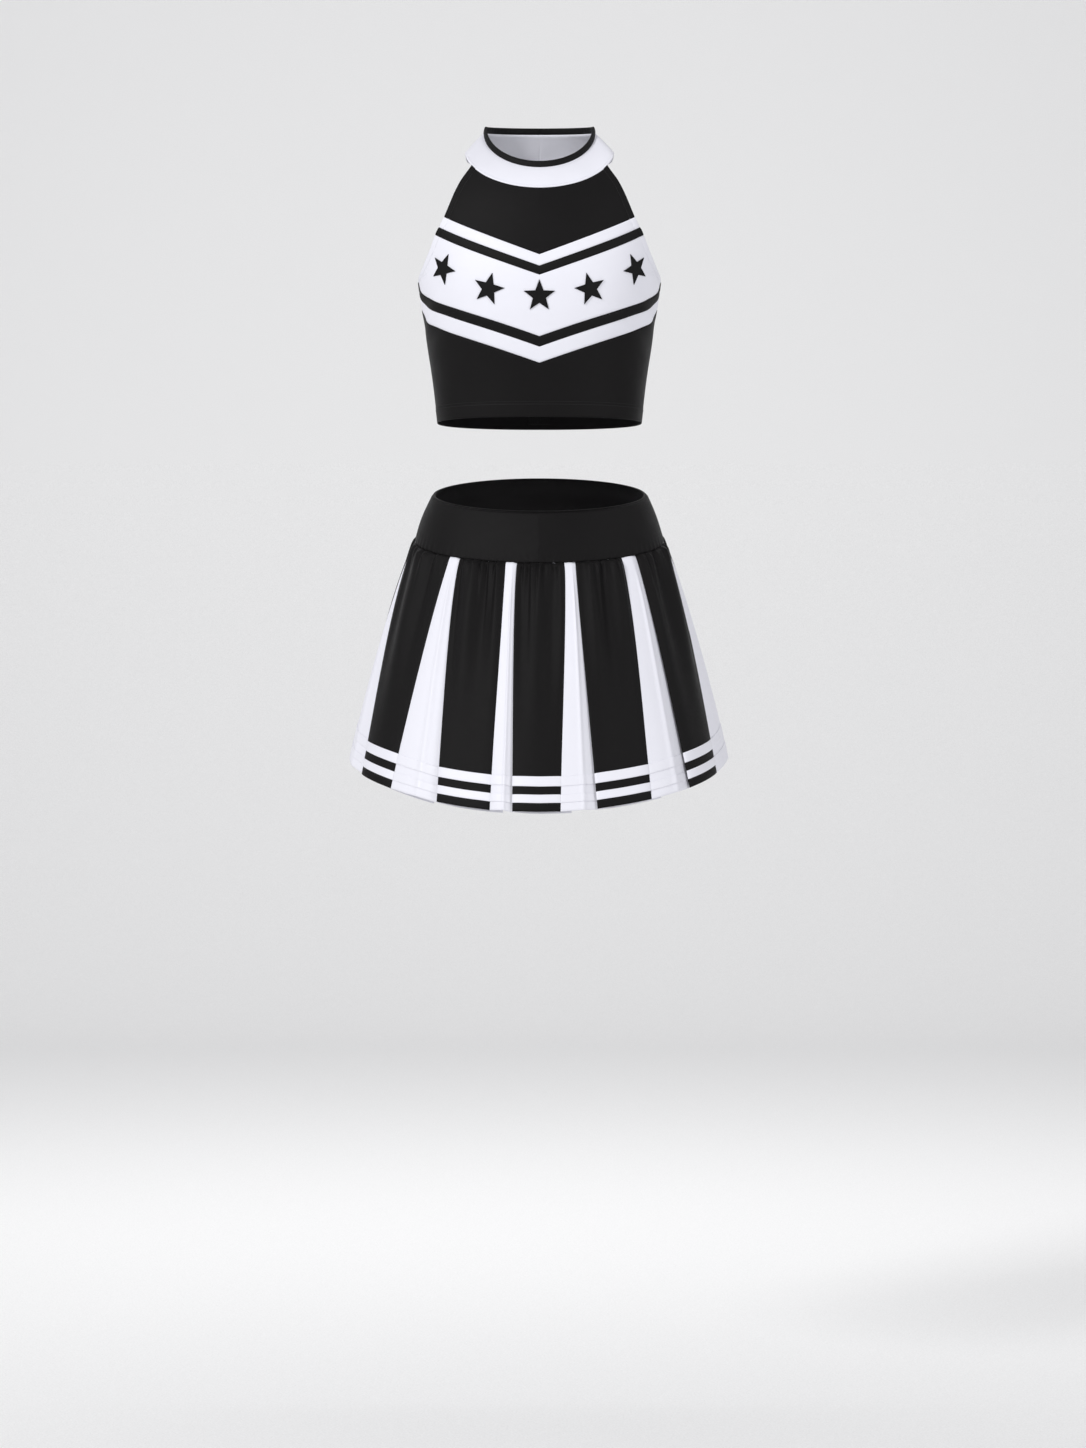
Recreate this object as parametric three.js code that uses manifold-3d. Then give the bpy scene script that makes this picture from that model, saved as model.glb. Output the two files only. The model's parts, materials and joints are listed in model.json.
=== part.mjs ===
// A two-piece cheer uniform: a halter crop top that zips up the centre back, and a skirt of twelve
// black pleats with white leaves between them. Millimetres, +Z up, and the wearer faces -Y, so +X is
// the wearer's left. The origin is the centre of the skirt's top opening, on the wearer's own axis.
// Heights are above that opening. Cloth pieces are thin closed sheets sampled on a grid.

import * as THREE from 'three';
import { mergeVertices } from 'three/addons/utils/BufferGeometryUtils.js';
import Module from 'manifold-3d';

const wasm = await Module();
wasm.setup();

// ---------------------------------------------------------------- driving dimensions

const FIT = 0.4;                      // gap kept between neighbouring pieces

// Top: the body under it, as [height, half width, front depth, back depth] from hem to neck.
const TORSO = [
  [60, 119.5, 89, 92],
  [86, 122.5, 92, 92],
  [138, 128.5, 101, 92],
  [178, 134, 111, 92],
  [215, 140, 120, 92],
  [254, 145, 124, 92],
  [300, 148, 118, 92],
  [330, 150, 110, 92],
  [354, 150, 100, 92],
  [385, 147, 80, 92],
  [409, 140, 62, 84],
  [430, 132, 50, 76],
];
const ROUNDNESS = 2.3;                // 2 is an ellipse, more is squarer
const GIRTH_HEIGHT = 215;             // height at which lengths round the body are measured
const SHELL = 1.6;                    // knit cloth of the top with its lining
const TOP_HEM = 86;

// Armhole edge as [height, distance out from the centre], from the side seam up to the collar.
const ARMHOLE = [
  [254, 145],
  [262, 141.3],
  [279.6, 132],
  [302, 122.3],
  [324, 111],
  [363.5, 93.5],
  [385, 79.5],
  [409, 68],
];

// Seams of the chevrons as [height at the centre, rise per millimetre round the body].
const YOKE_SEAM = [272.5, 0.385];
const UPPER_WHITE_SEAM = [259, 0.365];
const UPPER_BLACK_SEAM = [248.7, 0.355];
const CHEST_SEAM = [178, 0.33];
const LOWER_BLACK_SEAM = [166.5, 0.325];
const LOWER_WHITE_SEAM = [148, 0.32];
const UPPER_CURL = 0.00045;           // how much faster the three upper seams climb to the armholes
const UNDERARM_RUN = 50;              // length beside the side seam where the lower seams turn up
const UNDERARM_LIFT = 10;
const UNDERARM_BEND = 1.5;            // 1 turns up in a straight line, more turns up late

// Collar: the neck edge and the edge that is sewn to the yoke.
const NECK_HALF_WIDTH = 66;
const NECK_FRONT = 76;
const NECK_BACK = 62;
const NECK_SIDE_HEIGHT = 434;
const NECK_FRONT_DROP = 53;
const NECK_BACK_RISE = 8;
const COLLAR_HALF_WIDTH = 89;
const COLLAR_SIDE_HEIGHT = 409;
const COLLAR_FRONT_DROP = 55;
const COLLAR_THICKNESS = 2;
const COLLAR_BULGE = 1.5;
const COLLAR_OPENING = 2;             // between the collar's two ends at the centre back
const COLLAR_GAP = 1.2;               // below its sewn edge, clear of the facets on both sides
const BINDING_HEIGHT = 8;
const BINDING_THICKNESS = 3.2;
const BINDING_LEAN = 0.2;             // how far it leans in for its height
const BINDING_EDGE_TURN = 0.6;        // radians of its rounded section left off at each edge

const FACING_WIDTH = 9;               // armhole facing
const FACING_THICKNESS = 0.8;
const FACING_GAP = 2.2;               // inside the shell, clear of its facets
const FACING_EDGE_INSET = 0.5;        // between the armhole edge and the facing's outer edge
const FACING_END_INSET = 2;           // between the collar seam and the facing's ends

// Stars on the chest, in place of lettering.
const STAR_COUNT = 5;
const STAR_RADIUS = 19;
const STAR_NOTCH = 0.42;              // inner radius as a share of the outer one
const STAR_SPACING = 59;
const STAR_HEIGHT = 224;              // centre of the middle star
const STAR_ARC = 0.0026;              // how fast the row of stars climbs to the sides
const STAR_THICKNESS = 0.7;

// Centre back zip.
const ZIP_SLOT = 6.4;                 // between the two back edges
const ZIP_BOTTOM = 92;
const ZIP_TOP = 384;
const TAPE_REACH = 13;                // from the centre to the tape's far edge
const TAPE_THICKNESS = 0.6;
const COIL_REACH = 2.4;
const COIL_PROUD = 0.4;               // how far the coil stands out of the cloth
const STOP_SIZE = [5.6, 1.6, 4];
const SLIDER_REST = 370;
const SLIDER_SIZE = [9, 2.6, 12];
const BRIDGE_SIZE = [2.2, 3.6, 9];    // the loop on the slider that carries the pull
const BRIDGE_WALL = 1;
const PULL_WIDTH = 7.6;
const PULL_LENGTH = 24;
const PULL_THICKNESS = 1.2;
const PULL_EYE = [4.2, 4.4];
const PULL_BAR = 1.4;

// Button and loop that close the collar.
const BUTTON_RADIUS = 5.5;
const BUTTON_THICKNESS = 2;
const BUTTON_SHANK = 1.8;
const BUTTON_RIM = 0.6;               // bevel under the button's edge
const BUTTON_CROWN = 0.8;             // how far its top face stands in from the edge
const BUTTON_OFFSET = 9;              // from the centre back
const LOOP_RADIUS = 0.7;
const LOOP_LIFT = 0.1;                // loop above the button's seat
const LOOP_TAIL = 6;                  // how far the loop's ends run past the centre back
const CLOSURE_LIFT = 0.8;             // button's seat above the collar's face

// Skirt: each ring is [half width, depth, height at the side], and all rings lean forward and down.
const TILT = 0.277;
const WAIST_RING = [129, 95, 0];
const SEAM_RING = [149.4, 114, -55];
const HEM_RING = [226, 193, -320];
const BAND_BULGE = 2;
const BAND_CLOTH = 1.5;
const BAND_ELASTIC = 1.4;
const BAND_FACING = 1.2;
const BAND_MARGIN = 4;                // elastic stops this far short of the band's edges
const PLEATS = 12;
const PLEAT_SEAM_SHARE = 0.757;       // how much of its pitch a black pleat takes at the seam
const PLEAT_HEM_SHARE = 0.565;
const PLEAT_CLOTH = 1.4;
const LEAF_CLOTH = 1.1;
const SEAM_GAP = 0.6;
const SEAM_INSET = 1;                 // pleats start this far inside the waistband's lower edge
const LEAF_EDGE = 0.01;               // leaf bends this share of a pleat before the next one starts
const LEAF_TUCK_SEAM = 3;             // how far a white leaf reaches behind the next black pleat
const LEAF_TUCK_HEM = 57;

// ---------------------------------------------------------------- materials

function cloth(color, roughness) {
  return new THREE.MeshStandardMaterial({ color, roughness, metalness: 0 });
}

const blackKnit = cloth(0x212121, 0.85);
const whiteSatin = cloth(0xf0f0fa, 0.55);
const blackBraid = cloth(0x1c1c1c, 0.75);
const elasticWeb = cloth(0xd8d8d4, 0.9);
const blackPlastic = cloth(0x18181a, 0.4);
const blackMetal = new THREE.MeshStandardMaterial({ color: 0x2a2a2c, roughness: 0.35, metalness: 0.8 });

// ---------------------------------------------------------------- shared geometry

const { lerp } = THREE.MathUtils;

/** Smooth values at x from rows that start with their own x, in rising order. */
function smoothRow(rows, x) {
  let i = 0;
  while (i < rows.length - 2 && x > rows[i + 1][0]) {
    i += 1;
  }
  const [from, to] = [rows[i], rows[i + 1]];
  const before = rows[Math.max(i - 1, 0)];
  const after = rows[Math.min(i + 2, rows.length - 1)];
  const span = to[0] - from[0];
  const t = (x - from[0]) / span;
  return from.map((start, k) => {
    const leave = (to[k] - before[k]) / (to[0] - before[0]) * span;
    const arrive = (after[k] - start) / (after[0] - from[0]) * span;
    const turn = to[k] - start;
    return start + t * (leave + t * (3 * turn - 2 * leave - arrive + t * (leave + arrive - 2 * turn)));
  });
}

/** The surface at a distance outward from another; distances inward are negative. */
function offset(surface, distance) {
  const step = 0.002;
  return (u, v) => {
    const along = surface(u + step, v).sub(surface(u - step, v));
    const up = surface(u, v + step).sub(surface(u, v - step));
    return surface(u, v).addScaledVector(along.cross(up).normalize(), distance);
  };
}

/** A closed sheet between an outer and an inner surface; a ring joins its last column to its first. */
function sheet(columns, rows, outer, inner, ring = false) {
  const across = ring ? columns : columns + 1;
  const positions = [];
  const index = [];
  for (const face of [outer, inner]) {
    for (let i = 0; i < across; i += 1) {
      for (let j = 0; j <= rows; j += 1) {
        positions.push(...face(i / columns, j / rows).toArray());
      }
    }
  }
  const at = (side, i, j) => side * across * (rows + 1) + (i % across) * (rows + 1) + j;
  const quad = (a, b, c, d) => index.push(a, b, c, a, c, d);
  for (let i = 0; i < columns; i += 1) {
    for (let j = 0; j < rows; j += 1) {
      quad(at(0, i, j), at(0, i + 1, j), at(0, i + 1, j + 1), at(0, i, j + 1));
      quad(at(1, i, j), at(1, i, j + 1), at(1, i + 1, j + 1), at(1, i + 1, j));
    }
    quad(at(0, i, 0), at(1, i, 0), at(1, i + 1, 0), at(0, i + 1, 0));
    quad(at(0, i, rows), at(0, i + 1, rows), at(1, i + 1, rows), at(1, i, rows));
  }
  for (let j = 0; j < rows && !ring; j += 1) {
    quad(at(0, 0, j), at(0, 0, j + 1), at(1, 0, j + 1), at(1, 0, j));
    quad(at(0, columns, j), at(1, columns, j), at(1, columns, j + 1), at(0, columns, j + 1));
  }
  return solid(positions, index);
}

function solid(positions, index) {
  const geometry = new THREE.BufferGeometry();
  geometry.setAttribute('position', new THREE.Float32BufferAttribute(positions, 3));
  geometry.setIndex(index);
  geometry.computeVertexNormals();
  return geometry;
}

/** A sheet whose inner face lies a constant thickness under its outer one. */
function clothSheet(columns, rows, surface, thickness, ring = false) {
  return sheet(columns, rows, surface, offset(surface, -thickness), ring);
}

function piece(group, name, geometry, material) {
  const mesh = new THREE.Mesh(geometry, material);
  mesh.name = name;
  group.add(mesh);
  return mesh;
}

function manifoldOf(geometry) {
  const bare = geometry.clone();
  bare.deleteAttribute('normal');
  bare.deleteAttribute('uv');
  const merged = mergeVertices(bare);
  const vertProperties = new Float32Array(merged.attributes.position.array);
  const triVerts = new Uint32Array(merged.index.array);
  return new wasm.Manifold(new wasm.Mesh({ numProp: 3, vertProperties, triVerts }));
}

function joined(first, second) {
  const { vertProperties, triVerts } = manifoldOf(first).add(manifoldOf(second)).getMesh();
  return solid(Array.from(vertProperties), Array.from(triVerts));
}

/** A rectangle with an optional rectangular window, in its own x-y plane. */
function frameShape(width, height, window = null) {
  const shape = new THREE.Shape();
  shape.moveTo(-width / 2, 0);
  shape.lineTo(width / 2, 0);
  shape.lineTo(width / 2, height);
  shape.lineTo(-width / 2, height);
  shape.closePath();
  if (window) {
    const hole = new THREE.Path();
    hole.moveTo(-window.width / 2, window.bottom);
    hole.lineTo(-window.width / 2, window.bottom + window.height);
    hole.lineTo(window.width / 2, window.bottom + window.height);
    hole.lineTo(window.width / 2, window.bottom);
    hole.closePath();
    shape.holes.push(hole);
  }
  return shape;
}

// ---------------------------------------------------------------- the body under the top

/** How far a section's rim stands in front of, or behind, the point x out from the centre. */
function depthAt(x, halfWidth, depth) {
  return depth * (1 - (Math.abs(x) / halfWidth) ** ROUNDNESS) ** (1 / ROUNDNESS);
}

/** Point of the body at an angle round it: 0 at the front, a half turn at the back, + to the left. */
function bodyAt(angle, height) {
  const [, halfWidth, front, back] = smoothRow(TORSO, height);
  const out = Math.abs(Math.sin(angle)) ** (2 / ROUNDNESS) * Math.sign(Math.sin(angle));
  const ahead = Math.abs(Math.cos(angle)) ** (2 / ROUNDNESS) * Math.sign(Math.cos(angle));
  return new THREE.Vector3(halfWidth * out, -(ahead > 0 ? front : back) * ahead, height);
}

/** Lengths from the front centre at even steps of angle up to the back centre. */
const ANGLE_STEPS = 360;
const girth = [0];
for (let i = 1; i <= ANGLE_STEPS; i += 1) {
  const last = bodyAt((i - 1) / ANGLE_STEPS * Math.PI, GIRTH_HEIGHT);
  girth.push(girth[i - 1] + bodyAt(i / ANGLE_STEPS * Math.PI, GIRTH_HEIGHT).distanceTo(last));
}
const SIDE = girth[ANGLE_STEPS / 2];
const BACK = girth[ANGLE_STEPS];

function angleOf(length) {
  const reach = Math.min(Math.abs(length), BACK);
  let i = 1;
  while (girth[i] < reach) {
    i += 1;
  }
  const share = (reach - girth[i - 1]) / (girth[i] - girth[i - 1]);
  return (i - 1 + share) / ANGLE_STEPS * Math.PI * Math.sign(length);
}

function lengthOf(angle) {
  const step = angle / Math.PI * ANGLE_STEPS;
  const i = Math.min(Math.floor(step), ANGLE_STEPS - 1);
  return lerp(girth[i], girth[i + 1], step - i);
}

/** Point of the body at a length round it from the front centre, + to the wearer's left. */
function body(length, height) {
  return bodyAt(angleOf(length), height);
}

/** The armhole edge as [height, length from the front, length from the back]. */
const armhole = ARMHOLE.map(([height, out]) => {
  const [, halfWidth] = smoothRow(TORSO, height);
  const angle = Math.asin(Math.min(out / halfWidth, 1) ** (ROUNDNESS / 2));
  return [height, lengthOf(angle), BACK - lengthOf(Math.PI - angle)];
});

/** How far the front or back panels reach from their centre line at a height. */
function reachAt(height, isBack) {
  const side = isBack ? BACK - SIDE : SIDE;
  const edge = height > ARMHOLE[0][0] ? smoothRow(armhole, height)[isBack ? 2 : 1] : side;
  return Math.min(edge, side - FIT / 2);
}

// ---------------------------------------------------------------- lines across the top

/** A chevron's seam; the back is shorter round the body, so it is stretched to meet at the side. */
function chevron([height, rise], { curl = 0, isBack = false } = {}) {
  return (length) => {
    const along = isBack ? length * SIDE / (BACK - SIDE) : length;
    const near = Math.max(0, 1 - (SIDE - along) / UNDERARM_RUN);
    return height + rise * along + curl * along ** 2 + UNDERARM_LIFT * near ** UNDERARM_BEND;
  };
}

const hemLine = () => TOP_HEM;

/** The collar's sewn edge, which is lower at the front than at the back. */
function collarLine(isBack) {
  const drop = isBack ? 0 : COLLAR_FRONT_DROP;
  return (length, height) => {
    const out = Math.abs(body(isBack ? BACK - length : length, height).x);
    const share = Math.min(out / COLLAR_HALF_WIDTH, 1);
    return COLLAR_SIDE_HEIGHT - COLLAR_GAP - drop * Math.sqrt(1 - share * share);
  };
}

/** Height where a line crosses the given share of the way from the centre line to the edge. */
function crossing(line, share, isBack) {
  let low = TOP_HEM - 1;
  let high = COLLAR_SIDE_HEIGHT + 1;
  for (let i = 0; i < 40; i += 1) {
    const middle = (low + high) / 2;
    if (middle > line(share * reachAt(middle, isBack), middle)) {
      high = middle;
    } else {
      low = middle;
    }
  }
  return (low + high) / 2;
}

/** Front panel between two lines, from the wearer's right edge to the left one. */
function frontPanel(lowLine, highLine) {
  return (u, v) => {
    const share = 2 * u - 1;
    const low = crossing(lowLine, Math.abs(share), false) + FIT / 2;
    const high = crossing(highLine, Math.abs(share), false) - FIT / 2;
    const height = lerp(low, high, v);
    return body(share * reachAt(height, false), height);
  };
}

/** Back panel of one side (+1 is the wearer's left) between two lines; it stops at the zip's slot. */
function backPanel(side, lowLine, highLine) {
  return (u, v) => {
    const share = side > 0 ? 1 - u : u;
    const low = crossing(lowLine, share, true) + FIT / 2;
    const high = crossing(highLine, share, true) - FIT / 2;
    const height = lerp(low, high, v);
    const length = lerp(ZIP_SLOT / 2, reachAt(height, true), share);
    return body(side * (BACK - length), height);
  };
}

// ---------------------------------------------------------------- collar

/** The collar's sewn edge as a closed curve; turn is 0 at the front and +-1 at the back. */
function collarEdge(turn) {
  const angle = turn * Math.PI;
  const isBack = Math.cos(angle) < 0;
  const x = COLLAR_HALF_WIDTH * Math.sin(angle);
  const z = COLLAR_SIDE_HEIGHT - (isBack ? 0 : COLLAR_FRONT_DROP * Math.cos(angle));
  const [, halfWidth, front, back] = smoothRow(TORSO, z);
  const depth = depthAt(x, halfWidth, isBack ? -back : front);
  const fromCentre = isBack ? 1 - Math.abs(turn) : Math.abs(turn);
  const overShoulder = 1 - (2 * fromCentre) ** 16;
  return new THREE.Vector3(x, -depth * overShoulder, z);
}

function neckEdge(turn) {
  const angle = turn * Math.PI;
  const ahead = Math.cos(angle);
  const depth = ahead > 0 ? NECK_FRONT : NECK_BACK;
  const drop = ahead > 0 ? NECK_FRONT_DROP : NECK_BACK_RISE;
  return new THREE.Vector3(
    NECK_HALF_WIDTH * Math.sin(angle),
    -depth * ahead,
    NECK_SIDE_HEIGHT - drop * ahead,
  );
}

/** Turn of a column, so that the collar's two ends leave their opening at the back. */
function collarTurn(u) {
  return (2 * u - 1) * (1 - COLLAR_OPENING / 2 / (Math.PI * NECK_BACK));
}

function collarSurface(u, v) {
  const turn = collarTurn(u);
  const low = collarEdge(turn);
  const high = neckEdge(turn);
  const away = new THREE.Vector3(Math.sin(turn * Math.PI), -Math.cos(turn * Math.PI), 0);
  low.z += FIT / 2;
  return low.lerp(high, v).addScaledVector(away, COLLAR_BULGE * Math.sin(v * Math.PI));
}

/** Black binding folded over the neck edge: it stands on the collar and leans in with it. */
function bindingSurface(proud) {
  return (u, v) => {
    const turn = collarTurn(u);
    const base = neckEdge(turn);
    const away = new THREE.Vector3(Math.sin(turn * Math.PI), -Math.cos(turn * Math.PI), 0);
    base.z += FIT + BINDING_HEIGHT * v;
    const round = Math.sin(lerp(BINDING_EDGE_TURN, Math.PI - BINDING_EDGE_TURN, v));
    return base.addScaledVector(away, proud * round - BINDING_HEIGHT * BINDING_LEAN * v);
  };
}

// ---------------------------------------------------------------- armhole facings and stars

function armholeFacing(side) {
  const edge = [];
  const frontTop = crossing(collarLine(false), 1, false) - FACING_END_INSET;
  const backTop = crossing(collarLine(true), 1, true) - FACING_END_INSET;
  const steps = 10;
  for (let i = 0; i <= steps; i += 1) {
    const height = lerp(frontTop, ARMHOLE[0][0], i / steps);
    edge.push(new THREE.Vector3(reachAt(height, false), height, 0));
  }
  for (let i = 1; i <= steps; i += 1) {
    const height = lerp(ARMHOLE[0][0], backTop, i / steps);
    edge.push(new THREE.Vector3(BACK - reachAt(height, true), height, 0));
  }
  const line = new THREE.CatmullRomCurve3(edge);
  const surface = (u, v) => {
    const along = side > 0 ? u : 1 - u;
    const at = line.getPointAt(THREE.MathUtils.clamp(along, 0, 1));
    const way = line.getTangentAt(THREE.MathUtils.clamp(along, 0, 1));
    const width = lerp(FACING_WIDTH, FACING_EDGE_INSET, v);
    return body(side * (at.x + way.y * width), at.y - way.x * width);
  };
  const depth = SHELL + FACING_GAP;
  return sheet(36, 2, offset(surface, -depth), offset(surface, -depth - FACING_THICKNESS));
}

/** A five-pointed star lying on the chest: rings of points from its centre out, on two levels. */
function star(centreLength, centreHeight, lean) {
  const spokes = 20;
  const rings = 2;
  const corner = (k) => {
    const radius = STAR_RADIUS * (k % 4 === 0 ? 1 : STAR_NOTCH);
    const angle = k / spokes * 2 * Math.PI + lean;
    return new THREE.Vector2(-radius * Math.sin(angle), radius * Math.cos(angle));
  };
  const rim = (k) => (k % 2 === 0 ? corner(k) : corner(k - 1).add(corner(k + 1)).multiplyScalar(0.5));
  const face = (lift) => offset((x, y) => body(centreLength + x, centreHeight + y), lift);
  const positions = [];
  const index = [];
  for (const lift of [FIT + STAR_THICKNESS, FIT]) {
    const surface = face(lift);
    positions.push(...surface(0, 0).toArray());
    for (let ring = 1; ring <= rings; ring += 1) {
      for (let k = 0; k < spokes; k += 1) {
        const at = rim(k).multiplyScalar(ring / rings);
        positions.push(...surface(at.x, at.y).toArray());
      }
    }
  }
  const level = 1 + rings * spokes;
  const at = (side, ring, k) => side * level + 1 + (ring - 1) * spokes + (k % spokes);
  for (let k = 0; k < spokes; k += 1) {
    index.push(0, at(0, 1, k), at(0, 1, k + 1));
    index.push(level, at(1, 1, k + 1), at(1, 1, k));
    for (let ring = 1; ring < rings; ring += 1) {
      const [a, b, c, d] = [at(0, ring, k), at(0, ring + 1, k), at(0, ring + 1, k + 1), at(0, ring, k + 1)];
      index.push(a, b, c, a, c, d);
      index.push(a + level, c + level, b + level, a + level, d + level, c + level);
    }
    const [outA, outB] = [at(0, rings, k), at(0, rings, k + 1)];
    index.push(outA, outA + level, outB + level, outA, outB + level, outB);
  }
  return solid(positions, index);
}

// ---------------------------------------------------------------- zip, button and loop

const ZIP_FACE = bodyAt(Math.PI, GIRTH_HEIGHT).y;   // the cloth's outer face along the zip

/** One tape with its half of the coil, as an L-shaped section run up the back. */
function zipTape(side) {
  const tapeOuter = ZIP_FACE - SHELL - 2 * FIT;
  const shape = new THREE.Shape();
  shape.moveTo(FIT / 2, tapeOuter - TAPE_THICKNESS);
  shape.lineTo(TAPE_REACH, tapeOuter - TAPE_THICKNESS);
  shape.lineTo(TAPE_REACH, tapeOuter);
  shape.lineTo(COIL_REACH, tapeOuter);
  shape.lineTo(COIL_REACH, ZIP_FACE + COIL_PROUD);
  shape.lineTo(FIT / 2, ZIP_FACE + COIL_PROUD);
  shape.closePath();
  const geometry = new THREE.ExtrudeGeometry(shape, { depth: ZIP_TOP - ZIP_BOTTOM, bevelEnabled: false });
  if (side < 0) {
    geometry.rotateZ(Math.PI);
    geometry.rotateX(Math.PI);
    geometry.translate(0, 0, ZIP_TOP - ZIP_BOTTOM);
  }
  geometry.translate(0, 0, ZIP_BOTTOM);
  return geometry;
}

/** Slider: a rounded plate over the coil with the pull's loop standing on it. */
function zipSlider() {
  const [width, depth, height] = SLIDER_SIZE;
  const plate = new THREE.Shape();
  plate.moveTo(-width / 2, height);
  plate.lineTo(-width / 2, height * 0.45);
  plate.quadraticCurveTo(-width / 2, 0, -width / 4, 0);
  plate.lineTo(width / 4, 0);
  plate.quadraticCurveTo(width / 2, 0, width / 2, height * 0.45);
  plate.lineTo(width / 2, height);
  plate.closePath();
  const settings = { depth, bevelEnabled: false, curveSegments: 4 };
  const base = new THREE.ExtrudeGeometry(plate, settings);
  base.rotateX(Math.PI / 2);
  base.translate(0, depth, -height / 2);
  const [loopWidth, loopDepth, loopHeight] = BRIDGE_SIZE;
  const window = {
    width: loopDepth - BRIDGE_WALL,
    height: loopHeight - 2 * BRIDGE_WALL,
    bottom: BRIDGE_WALL,
  };
  const side = frameShape(loopDepth + BRIDGE_WALL, loopHeight, window);
  const loop = new THREE.ExtrudeGeometry(side, { depth: loopWidth, bevelEnabled: false });
  loop.rotateX(Math.PI / 2);
  loop.rotateZ(Math.PI / 2);
  loop.translate(-loopWidth / 2, depth + loopDepth / 2 - BRIDGE_WALL / 2, -loopHeight / 2);
  return joined(base, loop);
}

/** Pull: a flat bar with a window at its top, whose upper edge runs through the slider's loop. */
function zipPull() {
  const [eyeWidth, eyeHeight] = PULL_EYE;
  const window = { width: eyeWidth, height: eyeHeight, bottom: PULL_LENGTH - PULL_BAR - eyeHeight };
  const shape = frameShape(PULL_WIDTH, PULL_LENGTH, window);
  const geometry = new THREE.ExtrudeGeometry(shape, { depth: PULL_THICKNESS, bevelEnabled: false });
  geometry.rotateX(Math.PI / 2);
  geometry.translate(0, PULL_THICKNESS / 2, PULL_BAR / 2 - PULL_LENGTH);
  return geometry;
}

function button() {
  const profile = [
    [0, 0],
    [BUTTON_SHANK, 0],
    [BUTTON_SHANK, BUTTON_THICKNESS],
    [BUTTON_RADIUS - BUTTON_RIM, BUTTON_THICKNESS],
    [BUTTON_RADIUS, BUTTON_THICKNESS + BUTTON_RIM],
    [BUTTON_RADIUS - BUTTON_CROWN, 2 * BUTTON_THICKNESS],
    [0, 2 * BUTTON_THICKNESS],
  ];
  return new THREE.LatheGeometry(profile.map(([x, y]) => new THREE.Vector2(x, y)), 20);
}

/** Elastic loop from the right-hand collar end round the button's shank. */
function buttonLoop() {
  const inner = BUTTON_SHANK + FIT + LOOP_RADIUS;
  const corner = inner * 0.75;
  const start = -BUTTON_OFFSET - LOOP_TAIL;
  const points = [
    new THREE.Vector3(start, -inner, 0),
    new THREE.Vector3(start / 2, -inner, 0),
    new THREE.Vector3(0, -inner, 0),
    new THREE.Vector3(corner, -corner, 0),
    new THREE.Vector3(inner, 0, 0),
    new THREE.Vector3(corner, corner, 0),
    new THREE.Vector3(0, inner, 0),
    new THREE.Vector3(start / 2, inner, 0),
    new THREE.Vector3(start, inner, 0),
  ];
  const extrudePath = new THREE.CatmullRomCurve3(points);
  const section = new THREE.Shape();
  section.absarc(0, 0, LOOP_RADIUS, 0, 2 * Math.PI);
  return new THREE.ExtrudeGeometry(section, { steps: 28, extrudePath, curveSegments: 4 });
}

// ---------------------------------------------------------------- skirt

const RING_START = -Math.PI / 2;      // the front centre

const ringCurves = new Map();         // each ring's curve, kept because its lengths are slow to sum

/** Point of a skirt ring at a share of its way round from the front, leaning forward and down. */
function ringPoint([halfWidth, depth, height], share) {
  const key = `${halfWidth} ${depth}`;
  if (!ringCurves.has(key)) {
    const curve = new THREE.EllipseCurve(0, 0, halfWidth, depth, RING_START, RING_START + 2 * Math.PI);
    curve.arcLengthDivisions = 720;
    ringCurves.set(key, curve);
  }
  const { x, y } = ringCurves.get(key).getPointAt(share - Math.floor(share));
  return new THREE.Vector3(x, y, height + TILT * y);
}

/** Waistband surface, a share of the way up from the seam, at a depth inside the outer face. */
function bandSurface(inside, margin) {
  const height = WAIST_RING[2] - SEAM_RING[2];
  return (u, v) => {
    const up = lerp(margin / height, 1 - margin / height, v);
    const [a, b, z] = SEAM_RING.map((low, k) => lerp(low, WAIST_RING[k], up));
    const swell = BAND_BULGE * Math.sin(up * Math.PI) - inside;
    return ringPoint([a + swell, b + swell, z], u);
  };
}

function bandLayer(inside, thickness, margin) {
  return sheet(60, 2, bandSurface(inside, margin), bandSurface(inside + thickness, margin), true);
}

/** Corner of a black pleat on a ring; side is -1 at its start and +1 at its end. */
function pleatCorner(ring, share, pleat, side) {
  return ringPoint(ring, (pleat + side * share / 2) / PLEATS);
}

const SEAM_EDGE = [SEAM_RING[0] - SEAM_INSET, SEAM_RING[1] - SEAM_INSET, SEAM_RING[2] - SEAM_GAP];

/** Outer face of a black pleat: u runs across it and v from the hem up to the seam. */
function pleatSurface(pleat) {
  const hem = [-1, 1].map((side) => pleatCorner(HEM_RING, PLEAT_HEM_SHARE, pleat, side));
  const seam = [-1, 1].map((side) => pleatCorner(SEAM_EDGE, PLEAT_SEAM_SHARE, pleat, side));
  return (u, v) => {
    const low = hem[0].clone().lerp(hem[1], u);
    const high = seam[0].clone().lerp(seam[1], u);
    return low.lerp(high, v);
  };
}

const LEAF_BEND = 0.5;                // where along the leaf it passes behind the next pleat

/** Outer face of a white leaf: from its own pleat's edge, in behind the edge of the next pleat. */
function leafSurface(pleat) {
  const own = pleatSurface(pleat);
  const next = offset(pleatSurface(pleat + 1), -PLEAT_CLOTH - FIT);
  return (u, v) => {
    const across = own(1, v).distanceTo(own(0, v));
    const start = own(1 + FIT / across, v);
    const edge = next(-LEAF_EDGE, v);
    if (u < LEAF_BEND) {
      return start.lerp(edge, u / LEAF_BEND);
    }
    const tuck = lerp(LEAF_TUCK_HEM, LEAF_TUCK_SEAM, v) / next(1, v).distanceTo(next(0, v));
    return next(lerp(-LEAF_EDGE, tuck, (u - LEAF_BEND) / (1 - LEAF_BEND)), v);
  };
}

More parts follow.
